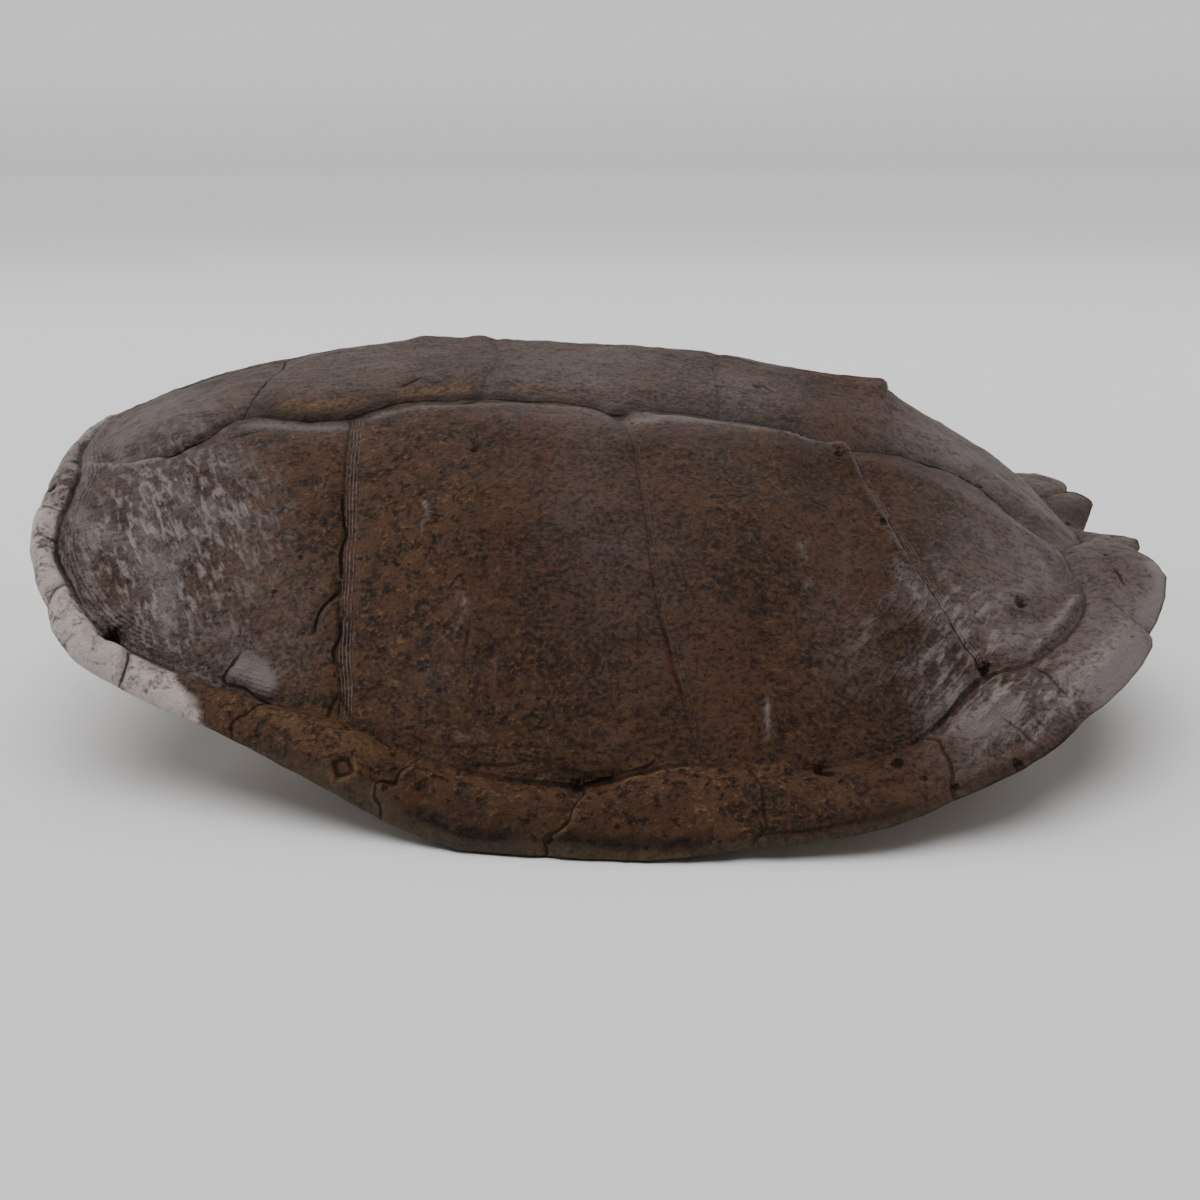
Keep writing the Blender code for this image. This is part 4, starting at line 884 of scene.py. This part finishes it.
def outsideOfShell(plate):
    # the smooth shell moved along its normals by all its relief, its edge nibbled a little and kept off the
    # ground; the outermost ring is turned under
    cells = carapace["cells"]
    rings = cells // 2
    split = (rings - carapace["bandRings"]) / rings
    ring, count = wrapSquare(cells)
    last = ring > 1 - 0.5 / rings
    across = np.clip((ring - split) / ((rings - 1) / rings - split), 0, 1)
    onBand = ring > split + 1e-6
    points = smoothShell(ring, count, split, across, plate)
    normal = gridNormals(points, cells)
    folded = points * (1, 0, 1) - np.outer(abs(points[:, 1]), (0, 1, 0))    # both sides laid on the left one
    fields = {"inside": np.zeros(len(points))}
    seams, wander, patchy = seamRelief(plate, folded, onBand, fields)
    side = fromHead(count)
    walk = np.linspace(0, 13, 400)
    seamLine = ringCurve(carapace["innerSeam"], walk)
    length = np.append(0, np.cumsum(np.linalg.norm(np.diff(seamLine, axis=0), axis=1)))
    fields["ringAlong"] = np.interp(side, walk, length)
    fields["grooveDepth"] = np.interp(side, *np.transpose(carapace["grooveDepth"]))
    fields["ringInk"] = np.interp(side, *np.transpose(carapace["grooveInk"]))
    band = bandRelief(count, across, folded, wander, fields)
    marks = markRelief(plate, points, folded, fields)
    grained = grainRelief(points, folded, onBand, fields)
    dome, slab = domeRelief(points, folded, wander, fields)
    height = np.where(onBand, band, dome) + seams + marks + grained * np.clip((1 - across) * 4, 0.3, 1)
    colourFields(points, folded, side, across, onBand, fields)
    fields["patchy"] = patchy
    # the vertebral valley's painted shade joins the painted shade smears
    fields["shade"] = np.maximum(fields["shade"], 0.7 * fields["vale"])
    fields["rows"] = np.maximum(fields["rows"], 0.5 * slab)
    points = points + normal * height[:, None]
    out = outwardOf(count)
    much, size = carapace["nibble"]
    nibble = much * cloudNoise(folded, size, 47, 2) * step01(across, 0.6, 1)
    points = points + out * nibble[:, None]
    points[:, 2] = np.where(across > 0.5, np.maximum(points[:, 2], 0.0), points[:, 2])
    points[:, 2] += 0.8 * (across > 0.999) * ~last
    points = np.where(last[:, None], freeEdge(count) - carapace["turnedIn"] * out, points)
    for name in ("ringAlong", "grooveDepth", "vale"):      # needed while building only; the vale's painted shade is already in shade
        del fields[name]
    return points, fields


def undersideOfShell(plate):
    # the smooth shell set in by the wall along its normals, less the backbone and the ribs, whose heights are
    # bell curves; towards the edge it bends to the inner side of the free edge
    cells = carapace["underCells"]
    rings = cells // 2
    split = (rings - carapace["underBandRings"]) / rings
    ring, count = wrapSquare(cells)
    across = np.clip((ring - split) / (1 - split), 0, 1)
    points = smoothShell(ring, count, split, across, plate)
    under = points - carapace["wall"] * gridNormals(points, cells, 2)
    start, stop, height, width = carapace["backbone"]
    run = np.clip(np.minimum(points[:, 0] - start, stop - points[:, 0]) / 20, 0, 1)
    raised = run * np.exp(-(points[:, 1] / width) ** 2)
    under[:, 2] -= height * raised
    x, y = points[:, 0], abs(points[:, 1])
    ribs = carapace["ribs"]
    for k in range(ribs["count"]):
        start = ribs["first"] + k * ribs["spacing"]
        crest = bump(x - start - ribs["sweep"] * (start + 5) / 90 * y, ribs["width"])
        rib = crest * step01(y, 4, 16) * step01(ribs["length"] - y, 0, 14)
        under[:, 2] -= ribs["height"] * rib
        raised = np.maximum(raised, rib)
        under[:, 2] -= 1.4 * run * bump(x - start, 4.0) * bump(y, 9)
    under[:, 2] += 0.5 * cloudNoise(points, 12, 61)
    edge = ringCurve(carapace["freeEdge"], count) - carapace["edgeWidth"] * outwardOf(count)
    edge[:, 2] = np.maximum(freeEdge(count)[:, 2], 0)
    bent = under + (edge - under) * across[:, None] ** 1.5
    return np.where(across[:, None] > 0, bent, under), raised


def boundaryOf(cells):
    # point numbers round the edge of a square grid, one side after the other
    side = cells + 1
    walk = np.arange(cells)
    return np.concatenate([walk * side, cells * side + walk, (cells - walk) * side + cells, cells - walk])


def gridFaces(cells, first, inward=False):
    # two triangles to a cell of the grid, turned round for a surface that faces inwards
    index = first + np.arange((cells + 1) ** 2).reshape(cells + 1, cells + 1)
    corners = (index[:-1, :-1], index[1:, :-1], index[1:, 1:], index[:-1, 1:])
    p, q, r, s = (corner.ravel() for corner in corners)
    faces = np.concatenate([np.column_stack([p, q, r]), np.column_stack([p, r, s])])
    return faces[:, ::-1] if inward else faces


def rimFaces(cells, underCells, first):
    # each stretch of the hollow's edge takes a fan of the finer outside edge
    ratio = cells // underCells
    around = boundaryOf(cells)
    under = first + boundaryOf(underCells)
    i = np.arange(len(under)) * ratio
    faces = [np.column_stack([around[(i + k) % len(around)], under, around[(i + k + 1) % len(around)]])
             for k in range(ratio)]
    faces.append(np.column_stack([around[(i + ratio) % len(around)], under, np.roll(under, -1)]))
    return np.concatenate(faces)


def meshFromArrays(name, points, faces, fields):
    # a mesh of triangles, millimetres to metres, with each field as an attribute of its points
    mesh = bpy.data.meshes.new(name)
    mesh.vertices.add(len(points))
    mesh.vertices.foreach_set("co", (points * 0.001).astype(np.float32).ravel())
    mesh.loops.add(faces.size)
    mesh.loops.foreach_set("vertex_index", faces.astype(np.int32).ravel())
    mesh.polygons.add(len(faces))
    mesh.polygons.foreach_set("loop_start", np.arange(0, faces.size, 3, dtype=np.int32))
    mesh.update(calc_edges=True)
    mesh.shade_smooth()
    for key, values in fields.items():
        mesh.attributes.new(key, "FLOAT", "POINT").data.foreach_set("value", values.astype(np.float32))
    return mesh


def addToScene(name, data):
    # a new object for a mesh, lamp or camera
    thing = bpy.data.objects.new(name, data)
    bpy.context.scene.collection.objects.link(thing)
    return thing


def buildShell():
    # the outside and the hollow, joined round the edge; in the hollow every distance is large and every
    # strength 0, apart from the crests of its bones
    plate = bendPlate()
    outer, fields = outsideOfShell(plate)
    under, raised = undersideOfShell(plate)
    points = np.vstack([outer, under]) + (carapace["shiftX"], 0, 0)
    faces = np.concatenate([
        gridFaces(carapace["cells"], 0),
        gridFaces(carapace["underCells"], len(outer), True),
        rimFaces(carapace["cells"], carapace["underCells"], len(outer)),
    ])
    hollow = dict.fromkeys(("gapV", "gapT", "gapM", "gapC", "ringGap", "pitGap"), 50.0)
    hollow.update(inside=1.0, crest=raised)
    fields = {key: np.append(values, hollow.get(key, 0) + np.zeros(len(under)))
              for key, values in fields.items()}
    shell = addToScene("turtleShell", meshFromArrays("turtleShell", points, faces, fields))
    print("carapace:", len(points), "points,", len(faces), "triangles")
    return shell, list(fields)


shell, surfaceFields = buildShell()


def plug(tree, socket, value):
    # a socket takes a link, or else a plain value
    if isinstance(value, bpy.types.NodeSocket):
        tree.links.new(value, socket)
    else:
        socket.default_value = value


def calc(tree, kind, one, two=0.0):
    # one step of arithmetic on two values
    node = tree.nodes.new("ShaderNodeMath")
    node.operation = kind
    plug(tree, node.inputs[0], one)
    plug(tree, node.inputs[1], two)
    return node.outputs[0]


def span(tree, value, low, high):
    # smooth rise from 0 at low to 1 at high; falls where high is the lower one
    node = tree.nodes.new("ShaderNodeMapRange")
    node.interpolation_type = "SMOOTHSTEP"
    plug(tree, node.inputs["Value"], value)
    turned = high < low
    for name, number in (("From Min", min(low, high)), ("From Max", max(low, high)),
                         ("To Min", float(turned)), ("To Max", float(not turned))):
        node.inputs[name].default_value = number
    return node.outputs[0]


def blend(tree, factor, one, two):
    # mix of two colours: (1 - factor) one + factor two
    node = tree.nodes.new("ShaderNodeMix")
    node.data_type = "RGBA"
    for number, value in ((0, factor), (6, one), (7, two)):
        plug(tree, node.inputs[number], value)
    return node.outputs[2]


def field(tree, name):
    # a number stored at the points of the surface
    node = tree.nodes.new("ShaderNodeAttribute")
    node.attribute_name = name
    return node.outputs["Fac"]


def grain(tree, place, size, detail=3.0, sharp=0.5, bent=0.0):
    # cloudy noise of one size, with finer noise in it
    node = tree.nodes.new("ShaderNodeTexNoise")
    plug(tree, node.inputs["Vector"], place)
    for name, number in (("Scale", 1 / size), ("Detail", detail), ("Roughness", sharp), ("Distortion", bent)):
        node.inputs[name].default_value = number
    return node.outputs["Fac"]


def spots(tree, place, size):
    # distance to the nearest of scattered points, in parts of their spacing
    node = tree.nodes.new("ShaderNodeTexVoronoi")
    plug(tree, node.inputs["Vector"], place)
    node.inputs["Scale"].default_value = 1 / size
    return node.outputs["Distance"]


def stretched(tree, place, scale, turn=(0, 0, 0), kind="POINT"):
    # a point is scaled and then turned; the texture kind turns it back first and divides by the scale
    node = tree.nodes.new("ShaderNodeMapping")
    node.vector_type = kind
    plug(tree, node.inputs["Vector"], place)
    node.inputs["Scale"].default_value = scale
    node.inputs["Rotation"].default_value = turn
    return node.outputs[0]


def hornMaterial(names):
    # horn over bone: layers of colour blended one over the other, each by a pattern times a stored strength;
    # the names are those of the numbers stored on the surface
    material = bpy.data.materials.new("scuteHorn")
    material.use_nodes = True
    tree = material.node_tree
    shader = tree.nodes["Principled BSDF"]
    look = carapace
    on = {name: field(tree, name) for name in names}
    rust, pale, crest, inside = (on[name] for name in ("rust", "pale", "crest", "inside"))
    slanting, raked = on["slant"], on["raked"]

    # short forms of the steps: products and sums of any number of values, the larger of two, one less another
    def times(*values):
        return reduce(lambda one, two: calc(tree, "MULTIPLY", one, two), values)

    def plus(*values):
        return reduce(lambda one, two: calc(tree, "ADD", one, two), values)

    def most(one, two):
        return calc(tree, "MAXIMUM", one, two)

    def less(one, two):
        return calc(tree, "SUBTRACT", one, two)

    def absolute(value):
        return calc(tree, "ABSOLUTE", value)

    def rise(value, low, high):
        return span(tree, value, low, high)

    def layer(factor, tone):
        # the colour so far, blended towards a named one
        return blend(tree, factor, colour, look[tone])

    place = tree.nodes.new("ShaderNodeTexCoord").outputs["Object"]
    cloud = grain(tree, place, look["cloud"], 4)
    mottle = grain(tree, place, look["mottle"], 5, 0.62, 0.6)
    blotch = grain(tree, stretched(tree, place, (0.8, 1, 1), (0.3, 0.2, 0.5)), look["blotch"], 4, 0.65, 0.4)
    speck = grain(tree, place, look["speck"], 4, 0.65)
    fine = grain(tree, place, look["fine"], 3, 0.6)
    fibre = grain(tree, stretched(tree, place, (0.3, 1, 1)), look["fibre"], 4, 0.6, 0.3)
    # both sides laid on one, a metre apart in height, for the streaks that lean the same way on both
    axes = tree.nodes.new("ShaderNodeSeparateXYZ")
    tree.links.new(place, axes.inputs[0])
    halves = tree.nodes.new("ShaderNodeCombineXYZ")
    plug(tree, halves.inputs[0], axes.outputs[0])
    plug(tree, halves.inputs[1], absolute(axes.outputs[1]))
    plug(tree, halves.inputs[2], plus(axes.outputs[2], calc(tree, "SIGN", axes.outputs[1])))

    # noise drawn out lengthways and turned
    def streaks(width, turn):
        drawn = stretched(tree, halves.outputs[0], look["streakStretch"], turn, "TEXTURE")
        return grain(tree, drawn, width, 4, 0.6, 0.2)

    slant, rake = streaks(*look["slant"]), streaks(*look["rake"])

    # ground: umber to chestnut in clouds, russet mottling, ochre grains and black blotches where it is rusty
    ground = rise(plus(times(cloud, 0.5), times(mottle, 0.5)), 0.42, 0.60)
    colour = blend(tree, ground, look["umber"], look["chestnut"])
    colour = layer(times(rise(speck, 0.49, 0.58), 0.65), "chestnut")
    colour = layer(times(rise(speck, 0.48, 0.38), 0.60), "sootAndShade")
    colour = layer(times(rust, rise(mottle, 0.42, 0.60), 0.66), "russet")
    grains = times(rise(speck, 0.52, 0.62), rise(blotch, 0.48, 0.56), plus(times(rust, 0.60), 0.12))
    colour = layer(grains, "ochre")
    clean = less(1.0, times(pale, 0.8))
    blots = times(rise(blotch, 0.53, 0.61), rise(mottle, 0.60, 0.46), plus(times(rust, 0.55), 0.25))
    spotted = plus(spots(tree, place, look["dots"]), times(speck, 0.10))
    dots = times(rise(spotted, 0.23, 0.15), plus(times(rust, 0.5), 0.25))
    colour = layer(times(most(blots, dots), clean), "sootAndShade")
    # grey-lilac film, partly painted sheen: broken by the grain, thicker on the crests as a painted
    # highlight, in slanting streaks at both ends
    slanted = plus(times(slanting, rise(slant, 0.46, 0.64)), times(raked, rise(rake, 0.46, 0.62)))
    streaky = times(plus(slanting, raked), -0.62)
    paleAndSheen = times(pale, plus(times(crest, 1.0), 0.45, times(slanted, 1.7), streaky))
    paleAndSheen = plus(paleAndSheen, times(rise(crest, 0.55, 1.0), 0.25))
    broken = rise(plus(times(fibre, 0.45), times(speck, 0.55), times(paleAndSheen, 0.08)), 0.44, 0.60)
    colour = layer(times(paleAndSheen, plus(times(broken, 0.6), 0.4)), "lilac")
    # the slanted flecks: painted near-white highlights
    colour = layer(times(slanted, pale, 0.40), "bleachedAndHighlight")
    # white: the pale front marginals, partly painted sheen, and painted highlights on ridges and the tenth
    # marginal
    dirty = plus(mottle, times(speck, 0.5), times(cloud, 0.4), times(on["white"], 0.12))
    colour = layer(times(on["white"], rise(dirty, 0.86, 1.12), 0.92), "bleachedAndHighlight")
    colour = layer(times(on["brown"], 0.85), "umber")
    # painted shade from the shade smears and the vertebral valley, broken by the grain
    shaded = rise(plus(times(mottle, 0.6), times(speck, 0.4)), 0.40, 0.56)
    colour = layer(times(on["shade"], 0.9, shaded), "sootAndShade")
    # the film smears: pale lilac, partly painted sheen and highlights
    filmByStreaks = less(plus(1.0, times(slanted, 0.5)), times(raked, 0.65))
    torn = rise(plus(times(speck, 0.6), times(blotch, 0.4), times(on["filmAndSheen"], 0.15)), 0.41, 0.62)
    colour = layer(times(on["filmAndSheen"], 0.85, filmByStreaks, torn), "lilac")
    colour = layer(times(on["rim"], plus(0.45, times(rise(speck, 0.44, 0.58), 0.5))), "rimTan")
    # fine rows beside the margin and lined strips along the seams
    rowWave = calc(tree, "SINE", plus(times(on["ringGap"], 5.2), times(mottle, 5.0), times(speck, 2.0)))
    rowWave = times(rowWave, on["rows"], rise(blotch, 0.34, 0.56))
    colour = layer(times(rise(rowWave, 0.25, 1.0), 0.65), "lilac")
    colour = layer(times(rise(rowWave, -0.35, -1.0), 0.55), "umber")
    lines = calc(tree, "SINE", plus(times(on["gapT"], 6.4), times(mottle, 6.0), times(speck, 2.5)))
    lines = times(lines, on["lined"], rise(blotch, 0.30, 0.52))
    colour = layer(times(rise(lines, 0.35, 1.0), 0.70), "lilac")
    colour = layer(times(rise(lines, -0.45, -1.0), 0.75), "sootAndShade")
    colour = layer(times(on["ochre"], rise(speck, 0.34, 0.60)), "ochre")
    colour = layer(times(on["red"], rise(speck, 0.36, 0.60)), "redStain")

    # thin dark lines of seams, cracks and pits, and the lighter horn beside them
    dark = times(rise(plus(on["pitGap"], times(speck, 1.2)), 1.70, 1.15), on["pitInk"])
    fromRim = absolute(less(on["pitGap"], 1.7))
    ringed = times(rise(fromRim, 0.6, 0.0), on["pitInk"])
    edge = None
    for name, half in (("gapV", 0.04), ("gapT", -0.02), ("gapM", 0.0), ("gapC", 0.04)):
        gap, ink = absolute(on[name]), on[name + "Ink"]
        wide = plus(times(mottle, 0.8), times(speck, 0.3), half - 0.30)
        line = rise(less(gap, wide), 0.30, -0.02)
        dark = most(dark, times(line, ink))
        beside = times(rise(gap, 2.0, 0.9), ink)
        edge = beside if edge is None else most(edge, beside)
    wide = plus(times(mottle, 1.4), times(on["patchy"], 0.35), -0.45)
    fromSeam = less(absolute(on["ringGap"]), wide)
    ringLine = times(rise(fromSeam, 0.4, -0.1), plus(times(on["patchy"], 0.4), 0.6), on["ringInk"])
    dark = most(dark, ringLine)
    edge = most(edge, ringed)
    colour = layer(times(edge, rise(speck, 0.40, 0.62), 0.30), "seamEdge")
    colour = layer(times(dark, 0.94), "sootAndShade")
    # the hollow: pale bone, stained in clouds, lighter on the backbone and the ribs, partly a painted
    # highlight
    stained = plus(times(cloud, 0.45), times(mottle, 0.40), times(fibre, 0.15), times(crest, 0.12))
    boneTone = blend(tree, rise(stained, 0.36, 0.62), look["boneStain"], look["bone"])
    boneTone = blend(tree, times(rise(speck, 0.46, 0.36), 0.25), boneTone, look["umber"])
    colour = blend(tree, inside, colour, boneTone)
    tree.links.new(colour, shader.inputs["Base Color"])

    low, high = look["roughness"]
    rough = plus(times(speck, high - low), low - 0.10, times(most(inside, dark), 0.25))
    tree.links.new(rough, shader.inputs["Roughness"])
    shader.inputs["Specular IOR Level"].default_value = look["specular"]

    # heights in metres, a quarter as strong in the hollow
    heights = ((mottle, 0.00050), (blotch, 0.00060), (speck, 0.00075), (fine, 0.00022), (slanted, 0.00065),
               (dots, -0.00040), (fibre, 0.00012), (lines, 0.00007), (rowWave, 0.00010), (dark, -0.00028))
    height = plus(*(times(pattern, much) for pattern, much in heights))
    height = times(height, less(1.0, times(inside, 0.75)))
    relief = tree.nodes.new("ShaderNodeBump")
    relief.inputs["Distance"].default_value = 1.0
    relief.inputs["Strength"].default_value = 0.9
    tree.links.new(height, relief.inputs["Height"])
    tree.links.new(relief.outputs[0], shader.inputs["Normal"])
    return material


shell.data.materials.append(hornMaterial(surfaceFields))
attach(shell, "root")
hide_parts("carapace")

# Metres; the camera stands where the photo was taken from.
studio = {
    "cameraPlace": (0.01593, -0.47997, 0.16642),
    "cameraTurn": (-0.0366, 0.2994, -0.007),   # to the right, down, roll, in radians
    "lens": 45.65,                             # millimetres, on a sensor 36 wide
    "sensor": 36,
    "floor": 0.85,                             # how pale, from 0 to 1
    "floorReach": 6,
    "sky": 0.10,                               # strength overhead and in front
    "glow": 0.80,                              # more, low down behind the shell
    "haze": 0.19,                              # less, where the floor ends
    "sun": ((-0.12, -0.10, 1.0), 2.6, 1.0),    # direction it comes from, strength, angle
    # name, place, size, power
    "lights": [
        ("backLight", (0.0, 1.1, 1.3), 1.5, 5),
        ("leftLight", (-1.5, 0.25, 0.9), 0.9, 8),
        ("rightLight", (1.5, 0.45, 0.9), 0.9, 5.5),
    ],
    "lightAim": (0, 0, 0.05),
}


def buildFloor():
    # one pale square at the height of the rim
    reach = studio["floorReach"]
    mesh = bpy.data.meshes.new("studioFloor")
    corners = [(-reach, -reach, 0), (reach, -reach, 0), (reach, reach, 0), (-reach, reach, 0)]
    mesh.from_pydata(corners, [], [(0, 1, 2, 3)])
    material = bpy.data.materials.new("paleFloor")
    material.use_nodes = True
    shader = material.node_tree.nodes["Principled BSDF"]
    shader.inputs["Base Color"].default_value = (*[studio["floor"]] * 3, 1)
    shader.inputs["Roughness"].default_value = 0.8
    mesh.materials.append(material)
    addToScene("studioFloor", mesh)


def buildSky():
    # white light from all round: sky + glow x low x behind - haze near the floor's far edge
    world = bpy.data.worlds.new("studioWorld")
    world.use_nodes = True
    tree = world.node_tree
    axes = tree.nodes.new("ShaderNodeSeparateXYZ")
    tree.links.new(tree.nodes.new("ShaderNodeTexCoord").outputs["Generated"], axes.inputs[0])
    behind, upward = axes.outputs["Y"], axes.outputs["Z"]
    low = calc(tree, "MULTIPLY", span(tree, upward, 0.30, 0.02), span(tree, behind, 0.1, 0.7))
    strength = calc(tree, "ADD", calc(tree, "MULTIPLY", low, studio["glow"]), studio["sky"])
    dimmed = calc(tree, "MULTIPLY", span(tree, upward, 0.08, -0.02), -studio["haze"])
    strength = calc(tree, "ADD", strength, dimmed)
    tree.nodes["Background"].inputs["Color"].default_value = (1, 1, 1, 1)
    tree.links.new(strength, tree.nodes["Background"].inputs["Strength"])
    bpy.context.scene.world = world


def buildLights():
    # a wide soft sun that leaves no mirror image on the horn, and square lamps turned to the shell
    direction, strength, angle = studio["sun"]
    data = bpy.data.lights.new("skyLight", "SUN")
    data.energy = strength
    data.angle = angle
    light = addToScene("skyLight", data)
    light.rotation_euler = Vector(direction).to_track_quat("Z", "Y").to_euler()
    light.visible_glossy = False
    for name, place, size, power in studio["lights"]:
        data = bpy.data.lights.new(name, "AREA")
        data.size = size
        data.energy = power
        light = addToScene(name, data)
        light.location = place
        away = Vector(studio["lightAim"]) - Vector(place)
        light.rotation_euler = away.to_track_quat("-Z", "Y").to_euler()
        light.visible_camera = False


def buildCamera():
    # looks ahead along (sin turn cos down, cos turn cos down, -sin down), then rolls about that line
    turn, down, roll = studio["cameraTurn"]
    ahead = Vector((np.sin(turn) * np.cos(down), np.cos(turn) * np.cos(down), -np.sin(down)))
    right = Vector((np.cos(turn), -np.sin(turn), 0))
    up = right.cross(ahead)
    side = np.cos(roll) * right + np.sin(roll) * up
    top = -np.sin(roll) * right + np.cos(roll) * up
    data = bpy.data.cameras.new("camera")
    data.lens = studio["lens"]
    data.sensor_width = studio["sensor"]
    data.clip_start = 0.01
    camera = addToScene("camera", data)
    turned = Matrix((side, top, -ahead)).transposed().to_4x4()
    camera.matrix_world = Matrix.Translation(studio["cameraPlace"]) @ turned
    bpy.context.scene.camera = camera


buildFloor()
buildSky()
buildLights()
buildCamera()
print("studio ready")
